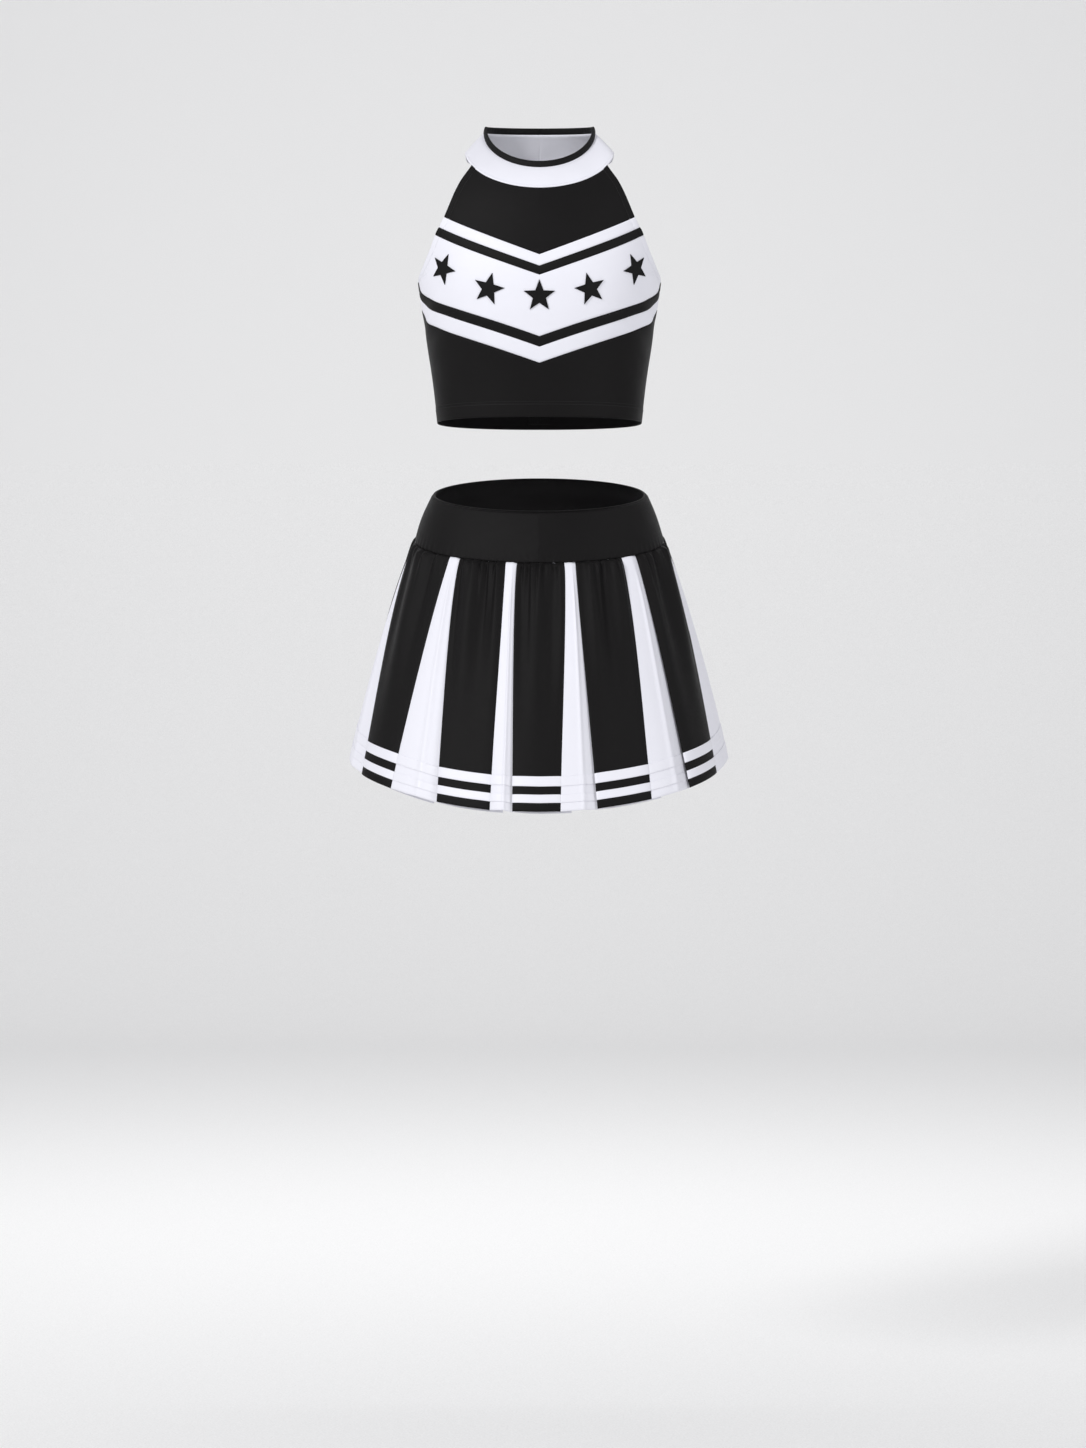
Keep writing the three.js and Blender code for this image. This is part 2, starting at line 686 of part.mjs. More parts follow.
/** A leaf's cloth is set off square to the pleat that the leaf lies nearer to. */
function leafSheet(pleat) {
  const surface = leafSurface(pleat);
  const inner = (u, v) => {
    const near = pleatSurface(u < LEAF_BEND / 2 ? pleat : pleat + 1);
    const shift = offset(near, -LEAF_CLOTH)(0.5, v).sub(near(0.5, v));
    return surface(u, v).add(shift);
  };
  return sheet(4, 5, surface, inner);
}

// ---------------------------------------------------------------- assembly

function buildTop() {
  const top = new THREE.Group();
  const lines = [
    hemLine,
    chevron(LOWER_WHITE_SEAM),
    chevron(LOWER_BLACK_SEAM),
    chevron(CHEST_SEAM),
    chevron(UPPER_BLACK_SEAM, { curl: UPPER_CURL }),
    chevron(UPPER_WHITE_SEAM, { curl: UPPER_CURL }),
    chevron(YOKE_SEAM, { curl: UPPER_CURL }),
  ];
  const backLines = [
    hemLine,
    chevron(LOWER_WHITE_SEAM, { isBack: true }),
    chevron(LOWER_BLACK_SEAM, { isBack: true }),
    chevron(CHEST_SEAM, { isBack: true }),
    chevron(YOKE_SEAM, { curl: UPPER_CURL, isBack: true }),
    collarLine(true),
  ];
  const bands = [
    ['body', 4, blackKnit],
    ['lower_white_stripe', 1, whiteSatin],
    ['lower_black_braid', 1, blackBraid],
    ['chest', 5, whiteSatin],
    ['upper_black_braid', 1, blackBraid],
    ['upper_white_stripe', 1, whiteSatin],
    ['yoke', 5, blackKnit],
  ];
  bands.forEach(([name, rows, material], i) => {
    const high = lines[i + 1] ?? collarLine(false);
    piece(top, `front_${name}`, clothSheet(24, rows, frontPanel(lines[i], high), SHELL), material);
  });
  for (const [side, word] of [[1, 'left'], [-1, 'right']]) {
    bands.slice(0, 3).forEach(([name, rows, material], i) => {
      const panel = backPanel(side, backLines[i], backLines[i + 1]);
      piece(top, `back_${word}_${name}`, clothSheet(12, rows, panel, SHELL), material);
    });
    const chest = backPanel(side, backLines[3], backLines[4]);
    const yoke = backPanel(side, backLines[4], backLines[5]);
    piece(top, `back_${word}_chest`, clothSheet(14, 9, chest, SHELL), whiteSatin);
    piece(top, `back_${word}_yoke`, clothSheet(12, 5, yoke, SHELL), blackKnit);
    piece(top, `armhole_facing_${word}`, armholeFacing(side), blackKnit);
    piece(top, `zip_tape_${word}`, zipTape(side), blackBraid);
  }
  piece(top, 'collar_band', clothSheet(56, 2, collarSurface, COLLAR_THICKNESS), whiteSatin);
  const binding = sheet(56, 2, bindingSurface(BINDING_THICKNESS / 2), bindingSurface(-BINDING_THICKNESS / 2));
  piece(top, 'neck_binding', binding, blackBraid);
  for (let i = 0; i < STAR_COUNT; i += 1) {
    const length = (i - (STAR_COUNT - 1) / 2) * STAR_SPACING;
    const lean = Math.atan(2 * STAR_ARC * length);
    const height = STAR_HEIGHT + STAR_ARC * length * length;
    piece(top, `star_${i + 1}`, star(length, height, lean), blackBraid);
  }
  const stop = piece(top, 'zip_bottom_stop', new THREE.BoxGeometry(...STOP_SIZE), blackMetal);
  stop.position.set(0, ZIP_FACE + COIL_PROUD + FIT + STOP_SIZE[1] / 2, ZIP_BOTTOM + STOP_SIZE[2] / 2);
  top.add(buildClosure());
  return top;
}

/** Button and loop, lying on the collar's slope at the centre back. */
function buildClosure() {
  const closure = new THREE.Group();
  const middle = collarSurface(1, 0.5);
  const low = collarSurface(1, 0.3);
  const high = collarSurface(1, 0.7);
  const slope = high.clone().sub(low).normalize();
  const out = new THREE.Vector3(1, 0, 0).cross(slope).normalize().negate();
  const basis = new THREE.Matrix4().makeBasis(new THREE.Vector3(1, 0, 0), slope.clone().negate(), out);
  closure.quaternion.setFromRotationMatrix(basis);
  closure.position.set(0, middle.y, middle.z).addScaledVector(out, CLOSURE_LIFT);
  const knob = piece(closure, 'collar_button', button(), blackPlastic);
  knob.rotation.x = Math.PI / 2;
  knob.position.x = BUTTON_OFFSET;
  const loop = piece(closure, 'collar_loop', buttonLoop(), elasticWeb);
  loop.position.set(BUTTON_OFFSET, 0, LOOP_RADIUS + LOOP_LIFT);
  return closure;
}

/** The slider's group moves along the zip, and the pull swings inside it. */
function buildZipSlider() {
  const slider = new THREE.Group();
  slider.position.set(0, ZIP_FACE + COIL_PROUD + FIT, SLIDER_REST);
  piece(slider, 'zip_slider', zipSlider(), blackMetal);
  const pull = piece(slider, 'zip_pull', zipPull(), blackMetal);
  const bar = SLIDER_SIZE[1] + (BRIDGE_SIZE[1] - BRIDGE_WALL) / 2;
  pull.position.set(0, bar, BRIDGE_WALL + PULL_BAR / 2 + FIT - BRIDGE_SIZE[2] / 2);
  return slider;
}

function buildSkirt() {
  const skirt = new THREE.Group();
  const elasticDepth = BAND_CLOTH + FIT;
  const facingDepth = elasticDepth + BAND_ELASTIC + FIT;
  piece(skirt, 'waistband', bandLayer(0, BAND_CLOTH, 0), blackKnit);
  piece(skirt, 'waist_elastic', bandLayer(elasticDepth, BAND_ELASTIC, BAND_MARGIN), elasticWeb);
  piece(skirt, 'waistband_facing', bandLayer(facingDepth, BAND_FACING, 0), blackKnit);
  for (let i = 0; i < PLEATS; i += 1) {
    const number = String(i + 1).padStart(2, '0');
    const panel = clothSheet(3, 5, pleatSurface(i), PLEAT_CLOTH);
    piece(skirt, `pleat_${number}_black`, panel, blackKnit);
    piece(skirt, `pleat_${number}_white`, leafSheet(i), whiteSatin);
  }
  return skirt;
}

const uniform = new THREE.Group();
uniform.name = 'cheer_uniform';
uniform.add(buildTop(), buildZipSlider(), buildSkirt());

export default uniform;
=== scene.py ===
"""Looks of the two-piece cheer uniform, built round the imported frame. Metres, +Z up, wearer faces -Y."""

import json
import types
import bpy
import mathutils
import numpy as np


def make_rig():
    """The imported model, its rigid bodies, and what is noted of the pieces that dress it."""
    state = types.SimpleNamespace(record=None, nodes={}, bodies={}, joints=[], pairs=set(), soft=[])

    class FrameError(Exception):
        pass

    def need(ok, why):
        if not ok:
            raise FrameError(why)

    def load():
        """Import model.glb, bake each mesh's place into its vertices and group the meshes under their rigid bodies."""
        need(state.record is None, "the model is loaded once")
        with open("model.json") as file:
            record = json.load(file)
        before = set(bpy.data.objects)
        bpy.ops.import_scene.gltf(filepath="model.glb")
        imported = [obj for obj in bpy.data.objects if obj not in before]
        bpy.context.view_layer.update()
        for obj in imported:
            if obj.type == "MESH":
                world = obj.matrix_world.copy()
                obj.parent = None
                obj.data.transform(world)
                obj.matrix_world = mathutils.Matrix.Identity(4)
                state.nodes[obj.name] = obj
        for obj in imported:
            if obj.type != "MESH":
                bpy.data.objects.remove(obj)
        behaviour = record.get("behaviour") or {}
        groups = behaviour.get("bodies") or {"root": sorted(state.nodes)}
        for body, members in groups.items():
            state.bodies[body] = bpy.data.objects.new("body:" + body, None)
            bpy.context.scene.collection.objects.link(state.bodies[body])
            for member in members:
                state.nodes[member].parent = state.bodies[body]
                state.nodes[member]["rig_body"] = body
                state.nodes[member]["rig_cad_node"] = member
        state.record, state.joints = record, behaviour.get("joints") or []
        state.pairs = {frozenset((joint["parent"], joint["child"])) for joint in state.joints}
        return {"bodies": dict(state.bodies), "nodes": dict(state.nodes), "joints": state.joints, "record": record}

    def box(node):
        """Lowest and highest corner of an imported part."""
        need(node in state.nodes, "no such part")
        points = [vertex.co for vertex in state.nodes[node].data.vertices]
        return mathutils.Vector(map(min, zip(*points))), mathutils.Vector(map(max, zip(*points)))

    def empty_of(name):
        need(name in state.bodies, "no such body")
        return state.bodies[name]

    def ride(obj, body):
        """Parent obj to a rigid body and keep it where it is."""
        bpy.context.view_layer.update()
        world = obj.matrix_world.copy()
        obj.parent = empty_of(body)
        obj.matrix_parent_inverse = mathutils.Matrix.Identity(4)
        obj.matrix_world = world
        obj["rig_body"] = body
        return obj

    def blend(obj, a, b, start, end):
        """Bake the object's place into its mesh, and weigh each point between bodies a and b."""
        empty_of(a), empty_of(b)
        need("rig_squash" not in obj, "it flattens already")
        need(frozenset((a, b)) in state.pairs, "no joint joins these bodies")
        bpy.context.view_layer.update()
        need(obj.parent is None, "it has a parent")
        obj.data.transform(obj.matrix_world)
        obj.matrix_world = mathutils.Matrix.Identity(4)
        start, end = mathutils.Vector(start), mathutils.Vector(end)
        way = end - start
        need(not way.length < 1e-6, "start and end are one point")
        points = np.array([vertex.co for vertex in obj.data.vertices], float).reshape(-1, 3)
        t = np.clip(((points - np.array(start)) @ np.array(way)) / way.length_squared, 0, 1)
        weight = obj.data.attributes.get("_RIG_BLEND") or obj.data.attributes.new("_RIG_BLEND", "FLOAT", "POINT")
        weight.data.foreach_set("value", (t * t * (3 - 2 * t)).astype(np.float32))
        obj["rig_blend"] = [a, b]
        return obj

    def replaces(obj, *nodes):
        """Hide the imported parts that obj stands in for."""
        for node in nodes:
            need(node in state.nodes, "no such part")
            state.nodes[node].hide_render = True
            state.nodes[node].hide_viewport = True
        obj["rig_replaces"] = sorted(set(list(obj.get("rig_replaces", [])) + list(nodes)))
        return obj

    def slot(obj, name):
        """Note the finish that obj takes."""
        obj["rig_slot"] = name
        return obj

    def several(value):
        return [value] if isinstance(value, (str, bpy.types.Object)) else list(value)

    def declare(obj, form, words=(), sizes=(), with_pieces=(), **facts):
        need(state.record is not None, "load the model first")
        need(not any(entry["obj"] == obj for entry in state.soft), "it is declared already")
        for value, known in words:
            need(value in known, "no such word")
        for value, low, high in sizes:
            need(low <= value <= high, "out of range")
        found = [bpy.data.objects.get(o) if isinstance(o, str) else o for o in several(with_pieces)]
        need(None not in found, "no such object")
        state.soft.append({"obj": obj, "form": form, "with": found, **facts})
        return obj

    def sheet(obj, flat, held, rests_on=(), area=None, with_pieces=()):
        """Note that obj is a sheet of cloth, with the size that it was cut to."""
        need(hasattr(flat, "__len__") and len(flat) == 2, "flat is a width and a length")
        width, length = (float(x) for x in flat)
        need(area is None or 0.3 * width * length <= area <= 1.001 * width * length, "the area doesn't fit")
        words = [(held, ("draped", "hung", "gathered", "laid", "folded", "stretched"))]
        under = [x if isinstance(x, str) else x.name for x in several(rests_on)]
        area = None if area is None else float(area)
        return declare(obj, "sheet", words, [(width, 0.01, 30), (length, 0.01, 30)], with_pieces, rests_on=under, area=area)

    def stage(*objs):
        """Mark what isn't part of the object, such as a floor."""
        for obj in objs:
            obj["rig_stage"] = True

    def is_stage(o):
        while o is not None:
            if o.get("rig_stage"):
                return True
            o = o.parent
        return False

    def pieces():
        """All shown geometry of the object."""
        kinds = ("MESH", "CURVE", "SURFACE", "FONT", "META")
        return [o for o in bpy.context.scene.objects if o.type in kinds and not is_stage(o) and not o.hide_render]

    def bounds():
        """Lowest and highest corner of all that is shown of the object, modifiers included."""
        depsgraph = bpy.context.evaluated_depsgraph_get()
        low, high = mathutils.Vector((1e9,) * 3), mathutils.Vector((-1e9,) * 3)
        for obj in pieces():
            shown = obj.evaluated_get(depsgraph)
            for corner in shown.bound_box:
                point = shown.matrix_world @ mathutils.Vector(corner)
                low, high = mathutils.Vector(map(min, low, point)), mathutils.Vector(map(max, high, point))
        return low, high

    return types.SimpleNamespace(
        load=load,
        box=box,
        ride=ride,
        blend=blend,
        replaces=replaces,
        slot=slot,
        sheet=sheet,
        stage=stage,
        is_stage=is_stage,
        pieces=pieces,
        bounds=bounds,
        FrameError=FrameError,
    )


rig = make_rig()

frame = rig.load()

import json
import math

import bpy
import numpy as np
from mathutils import Vector

cad_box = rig.bounds()
mm = 0.001

# ---- sizes shared with the CAD model

TORSO = np.array([
    (60, 119.5, 89, 92),
    (86, 122.5, 92, 92),
    (138, 128.5, 101, 92),
    (178, 134, 111, 92),
    (215, 140, 120, 92),
    (254, 145, 124, 92),
    (300, 148, 118, 92),
    (330, 150, 110, 92),
    (354, 150, 100, 92),
    (385, 147, 80, 92),
    (409, 140, 62, 84),
    (430, 132, 50, 76),
]) * mm  # height, half width, front depth, back depth
ROUNDNESS = 2.3
GIRTH_HEIGHT = 215 * mm
TOP_HEM = 86 * mm
ARMHOLE = np.array([
    (254, 145),
    (262, 141.3),
    (279.6, 132),
    (302, 122.3),
    (324, 111),
    (363.5, 93.5),
    (385, 79.5),
    (409, 68),
]) * mm  # height, distance out from the centre
# Seams of the chevrons: height at the centre, rise per length round the body, and curl.
YOKE_SEAM = (272.5 * mm, 0.385, 0.45)
UPPER_WHITE_SEAM = (259 * mm, 0.365, 0.45)
UPPER_BLACK_SEAM = (248.7 * mm, 0.355, 0.45)
CHEST_SEAM = (178 * mm, 0.33, 0)
LOWER_BLACK_SEAM = (166.5 * mm, 0.325, 0)
LOWER_WHITE_SEAM = (148 * mm, 0.32, 0)
UPPER_SEAMS = (UPPER_WHITE_SEAM, UPPER_BLACK_SEAM)
SEAMS = (YOKE_SEAM, *UPPER_SEAMS, CHEST_SEAM, LOWER_BLACK_SEAM, LOWER_WHITE_SEAM)
UNDERARM_RUN = 50 * mm
UNDERARM_LIFT = 10 * mm
UNDERARM_BEND = 1.5

NECK_HALF_WIDTH = 66 * mm
NECK_FRONT = 76 * mm
NECK_BACK = 62 * mm
NECK_SIDE_HEIGHT = 434 * mm
NECK_FRONT_DROP = 53 * mm
NECK_BACK_RISE = 8 * mm
COLLAR_HALF_WIDTH = 89 * mm
COLLAR_SIDE_HEIGHT = 409 * mm
COLLAR_FRONT_DROP = 55 * mm
COLLAR_BULGE = 1.5 * mm
COLLAR_JOIN = 0.01 * mm  # between the collar's two ends once they are buttoned
BINDING_HEIGHT = 8 * mm

STAR_COUNT = 5
STAR_RADIUS = 19 * mm
STAR_NOTCH = 0.42  # inner corners, as a share of the radius
STAR_CORNERS = 10
STAR_SPACING = 59 * mm
STAR_HEIGHT = 224 * mm
STAR_ARC = 2.6  # the row of stars rises by this times length squared

ZIP_SLOT = 6.4 * mm
SLOT_SHUT = 0.01 * mm  # half the slot's width past the zip's ends
ZIP_BOTTOM = 92 * mm
ZIP_TOP = 384 * mm
ZIP_FACE = 92 * mm  # how far behind the axis the back's outer face lies
SLIDER_REST = 370 * mm
TOOTH_PITCH = 2 * mm
ZIP_STITCH = 5 * mm  # stitched this far from the slot's edge
BUTTON_OFFSET = 9 * mm
LOOP_RADIUS = 0.7 * mm

PLEATS = 12
TILT = 0.277
WAIST_RING = (129 * mm, 95 * mm, 0)
SEAM_RING = (149.4 * mm, 114 * mm, -55 * mm)
HEM_RING = (226 * mm, 193 * mm, -320 * mm)
SEAM_EDGE = (148.4 * mm, 113 * mm, -55.6 * mm)
PLEAT_SEAM_SHARE = 0.757
PLEAT_HEM_SHARE = 0.565

# Gaps that keep neighbouring cloths apart, and how finely their crossings are found.
SIDE_GAP = 0.1 * mm  # panels end this short of the side seam
COLLAR_GAP = 0.4 * mm  # and this far below the collar's edge
SLOT_OVERRUN = 1 * mm
SLOT_CLOSES_LOW = 5 * mm
SLOT_CLOSES_HIGH = 8 * mm
HALVINGS = 36

# Grooves in the cloth of the top: depth and half width.
SEAM_GROOVE = (0.55 * mm, 1.4 * mm)
SIDE_GROOVE = (0.6 * mm, 1.6 * mm)
SLOT_GROOVE = (0.5 * mm, 0.7 * mm)
ZIP_STITCH_GROOVE = (0.35 * mm, 0.8 * mm)
TURN_SLOPE = 0.8 * mm
EDGE_RISE = 0.5 * mm
HEM_RISE = 0.35 * mm
# Drag lines from the underarm, then slack folds: relief, height and its range, pitch / 2 pi, phase and
# how far round from SLACK_SIDE they reach.
DRAG_RELIEF = 1.1 * mm
DRAG_HEIGHT = 235 * mm
DRAG_REACH = 45 * mm
DRAG_PITCH = 7.5 * mm
DRAG_LEAN = 0.55
SLACK_SIDE = 95 * mm
SLACK_FOLDS = (
    (0.9 * mm, 112 * mm, 26 * mm, 21 * mm, 0.6, 80 * mm),
    (0.7 * mm, 168 * mm, 22 * mm, 31 * mm, 2.0, math.inf),
)

# Cloth thicknesses and the small reliefs that only the looks have.
KNIT = 0.9 * mm
SATIN = 0.8 * mm
BRAID = 1.3 * mm
BRAID_LIFT = 0.45 * mm
EDGE_ROUND = 0.4  # how far a cloth's rounded edge stands out, in thicknesses
EDGE_TURN = 7 * mm  # turned and stitched armhole edge
HEM_TURN = 16 * mm  # turned hem of the top
RIBBONS = ((9.9 * mm, 19.4 * mm), (29.4 * mm, 40.9 * mm))  # above the skirt's hem
SKIRT_HEM_TURN = 8 * mm

# How far each pleat's two corners stray from an even spacing, as shares of the pitch.
HEM_SWAY = (
    (0.0, -0.06), (-0.1, -0.04), (0.07, 0.11), (0.5, 0.3), (0.1, 0.1), (0.05, 0.03),
    (0.05, 0.02), (-0.04, -0.02), (-0.1, -0.1), (-0.22, -0.38), (0.0, -0.02), (0.14, 0.19),
)
SEAM_SWAY = (
    (0.0, 0.05), (0.0, 0.1), (0.17, 0.6), (0.66, 0.42), (0.36, 0.1), (0.02, 0.0),
    (0.03, 0.0), (0.0, -0.02), (-0.1, -0.36), (-0.42, -0.66), (-0.6, 0.0), (-0.04, 0.05),
)
# How far each white leaf runs on behind the next pleat at the hem, as a share of the pitch.
LEAF_TUCK = (0.7, 0.7, 0.95, 0.95, 0.8, 0.7, 0.7, 0.8, 0.95, 0.95, 0.8, 0.7)
PLEAT_SPREAD = 0.06  # how much wider a gathered pleat stands below the seam
SKIRT_BELLY = 6.5 * mm  # how far the gathers push the skirt out below the seam
HEM_DROP = 3 * mm  # how much lower the hem hangs at the middle of the front
HEM_SIDE_LIFT = 11 * mm  # how much higher it rises at the sides


# ---- curves and surfaces

def bell(x, width):
    return np.exp(-(x / width) ** 2)


def ease(x):
    x = np.clip(x, 0, 1)
    return x * x * (3 - 2 * x)


def unit(vectors):
    """Vectors brought to length 1."""
    return vectors / np.maximum(np.linalg.norm(vectors, axis=-1, keepdims=True), 1e-12)


def run_of(points):
    """Length run along a path up to each of its points."""
    return np.concatenate([[0], np.cumsum(np.linalg.norm(np.diff(points, axis=0), axis=1))])


def sample(at, known, rows):
    """Rows of values read off at places between the known ones."""
    return np.stack([np.interp(at, known, column) for column in rows.T], -1)


def between(low, high, rows):
    """Grid of points or heights from one edge to the other."""
    share = np.linspace(0, 1, rows + 1).reshape(1, -1, *[1] * (low.ndim - 1))
    return low[:, None] * (1 - share) + high[:, None] * share


def smooth_rows(rows, x):
    """Smooth values at x from rows that start with their own x; the last axis holds the columns."""
    x = np.asarray(x, float)
    i = np.searchsorted(rows[1:-1, 0], x, side="left")
    start, end = rows[i], rows[i + 1]
    before = rows[np.maximum(i - 1, 0)]
    after = rows[np.minimum(i + 2, len(rows) - 1)]
    span = (end[..., 0] - start[..., 0])[..., None]
    t = (x[..., None] - start[..., :1]) / span
    leave = (end - before) / (end[..., :1] - before[..., :1]) * span
    arrive = (after - start) / (after[..., :1] - start[..., :1]) * span
    turn = end - start
    return start + t * (leave + t * (3 * turn - 2 * leave - arrive + t * (leave + arrive - 2 * turn)))


def body_at(angle, height):
    """Point of the body under the top: angle 0 at the front centre, pi at the back, + to the left."""
    angle, height = np.broadcast_arrays(np.asarray(angle, float), np.asarray(height, float))
    row = smooth_rows(TORSO, height)
    power = 2 / ROUNDNESS
    out = np.abs(np.sin(angle)) ** power * np.sign(np.sin(angle))
    ahead = np.abs(np.cos(angle)) ** power * np.sign(np.cos(angle))
    depth = np.where(ahead > 0, row[..., 2], row[..., 3])
    return np.stack([row[..., 1] * out, -depth * ahead, height], -1)


ANGLES = np.linspace(0, math.pi, 2881)
GIRTH = run_of(body_at(ANGLES, GIRTH_HEIGHT))  # length round the body at each angle
SIDE = GIRTH[len(GIRTH) // 2]
BACK = GIRTH[-1]


def body(length, height):
    """Point of the body at a length round it from the front centre, + to the wearer's left."""
    angle = np.interp(np.abs(length), GIRTH, ANGLES) * np.sign(length)
    return body_at(angle, height)


def _armhole_rows():
    half = smooth_rows(TORSO, ARMHOLE[:, 0])[:, 1]
    angle = np.arcsin(np.minimum(ARMHOLE[:, 1] / half, 1) ** (ROUNDNESS / 2))
    front = np.interp(angle, ANGLES, GIRTH)
    back = BACK - np.interp(math.pi - angle, ANGLES, GIRTH)
    return np.stack([ARMHOLE[:, 0], front, back], -1)


ARMHOLE_ROWS = _armhole_rows()


def reach_at(height, back):
    """How far the front or back panels reach from their centre line at a height."""
    side = BACK - SIDE if back else SIDE
    curve = smooth_rows(ARMHOLE_ROWS, height)[..., 2 if back else 1]
    return np.minimum(np.where(height > ARMHOLE[0, 0], curve, side), side - SIDE_GAP)


def chevron(seam, back=False):
    """A chevron's seam; the back is shorter round the body, so it stretches to meet at the side."""
    height, rise, curl = seam
    stretch = SIDE / (BACK - SIDE) if back else 1

    def line(length, _=None):
        along = np.abs(length) * stretch
        near = np.maximum(0, 1 - (SIDE - along) / UNDERARM_RUN)
        return height + rise * along + curl * along ** 2 + UNDERARM_LIFT * near ** UNDERARM_BEND
    return line


def is_black(length, height, back):
    """Where the cloth of the top is black rather than white."""
    low, low_black, chest, high_black, high_white, yoke = (
        height > chevron(seam, back)(length) for seam in reversed(SEAMS)
    )
    braid = (low_black & ~chest) | (high_black & ~high_white & (not back))
    return ~low | braid | yoke


def hem_line(length, height):
    return TOP_HEM + 0 * length


def collar_line(back):
    drop = 0 if back else COLLAR_FRONT_DROP

    def line(length, height):
        out = np.abs(body(BACK - length if back else length, height)[..., 0])
        share = np.minimum(out / COLLAR_HALF_WIDTH, 1)
        return COLLAR_SIDE_HEIGHT - COLLAR_GAP - drop * np.sqrt(1 - share * share)
    return line


def crossing(line, share, back):
    """Height where a line crosses the given share of the way from the centre line to the edge."""
    low = np.full(share.shape, TOP_HEM - 1 * mm)
    high = np.full(share.shape, COLLAR_SIDE_HEIGHT + 1 * mm)
    for _ in range(HALVINGS):
        middle = (low + high) / 2
        above = middle > line(share * reach_at(middle, back), middle)
        high = np.where(above, middle, high)
        low = np.where(above, low, middle)
    return (low + high) / 2


def slot_edge(height):
    """The back's edge beside the zip: the slot closes just past both ends of the zip."""
    open_low = ease((height - ZIP_BOTTOM - SLOT_OVERRUN) / SLOT_CLOSES_LOW)
    open_high = ease((ZIP_TOP - SLOT_OVERRUN - height) / SLOT_CLOSES_HIGH)
    return SLOT_SHUT + (ZIP_SLOT / 2 - SLOT_SHUT) * open_low * open_high


def groove(away, size):
    depth, width = size
    return depth * bell(away, width)


def turned(away, width, rise):
    """Relief of an edge that is turned under and stitched at a width from the edge."""
    return rise * (ease((width + TURN_SLOPE - away) / (2 * TURN_SLOPE)) - bell(away - width, TURN_SLOPE))


def top_relief(length, height, back):
    """Height of the cloth of the top over the body: seams, turned edges and soft folds."""
    length = np.abs(length)
    relief = np.zeros(np.broadcast(length, height).shape)
    for seam in SEAMS:
        if back and seam in UPPER_SEAMS:
            continue
        away = (height - chevron(seam, back)(length)) * math.cos(math.atan(seam[1]))
        relief -= groove(away, SEAM_GROOVE)
    reach = reach_at(height, back)
    slope = (reach_at(height + 1 * mm, back) - reach_at(height - 1 * mm, back)) / (2 * mm)
    from_edge = (reach - length) / np.sqrt(1 + slope * slope)
    armhole = np.where(height > ARMHOLE[0, 0] - 10 * mm, 1.0, 0.0)
    relief += armhole * turned(from_edge, EDGE_TURN, EDGE_RISE)
    relief -= (1 - armhole) * groove(from_edge, SIDE_GROOVE)
    if back:
        from_slot = length - slot_edge(height)
        relief -= groove(from_slot, SLOT_GROOVE) + groove(from_slot - ZIP_STITCH, ZIP_STITCH_GROOVE)
    relief += turned(height - TOP_HEM, HEM_TURN, HEM_RISE)
    # drag lines that run in from the underarm
    across = (BACK - SIDE if back else SIDE) - length
    drop = DRAG_HEIGHT - height
    window = bell(across - DRAG_REACH, DRAG_REACH) * bell(drop - 20 * mm, 40 * mm)
    relief += DRAG_RELIEF * window * np.sin((across * DRAG_LEAN + drop) / DRAG_PITCH)
    # slack above the hem and at the waist
    for depth, middle, tall, pitch, phase, wide in SLACK_FOLDS:
        fold = depth * bell(height - middle, tall) * np.sin(length / pitch + phase)
        relief += fold * bell(length - SLACK_SIDE, wide)
    return relief


def grid_normals(points, ring=False):
    if ring:
        wrapped = np.concatenate([points[-2:-1], points, points[1:2]])
        along = wrapped[2:] - wrapped[:-2]
    else:
        along = np.gradient(points, axis=0)
    up = np.gradient(points, axis=1)
    return unit(np.cross(along, up))


# ---- mesh building

def new_object(name, vertices, faces, material, uv=None, smooth=True):
    mesh = bpy.data.meshes.new(name)
    mesh.from_pydata(np.reshape(vertices, (-1, 3)).tolist(), [], faces)
    mesh.materials.append(material)
    if uv is not None:
        layer = mesh.uv_layers.new(name="cloth")
        corner = np.zeros(len(mesh.loops), np.int32)
        mesh.loops.foreach_get("vertex_index", corner)
        layer.data.foreach_set("uv", np.asarray(uv)[corner].astype(np.float32).ravel())
    mesh.polygons.foreach_set("use_smooth", [smooth] * len(mesh.polygons))
    mesh.validate()
    obj = bpy.data.objects.new(name, mesh)
    bpy.context.scene.collection.objects.link(obj)
    return obj


def grid_quads(ids):
    return np.stack([ids[:-1, :-1], ids[1:, :-1], ids[1:, 1:], ids[:-1, 1:]], -1).reshape(-1, 4)


def ring_quads(count, around):
    """Vertex numbers of a stack of rings, and the quads between them."""
    ids = np.arange(count * around).reshape(count, around)
    nxt = np.roll(ids, -1, axis=1)
    return ids, np.stack([ids[:-1], nxt[:-1], nxt[1:], ids[1:]], -1).reshape(-1, 4).tolist()


def cloth_lengths(points):
    """Lengths along both ways of a grid, used as the cloth's own coordinates."""
    across = np.linalg.norm(np.diff(points, axis=0), axis=-1)
    down = np.linalg.norm(np.diff(points, axis=1), axis=-1)
    u = np.concatenate([np.zeros((1, points.shape[1])), np.cumsum(across, axis=0)])
    v = np.concatenate([np.zeros((points.shape[0], 1)), np.cumsum(down, axis=1)], axis=1)
    return u - u[-1:] / 2, v


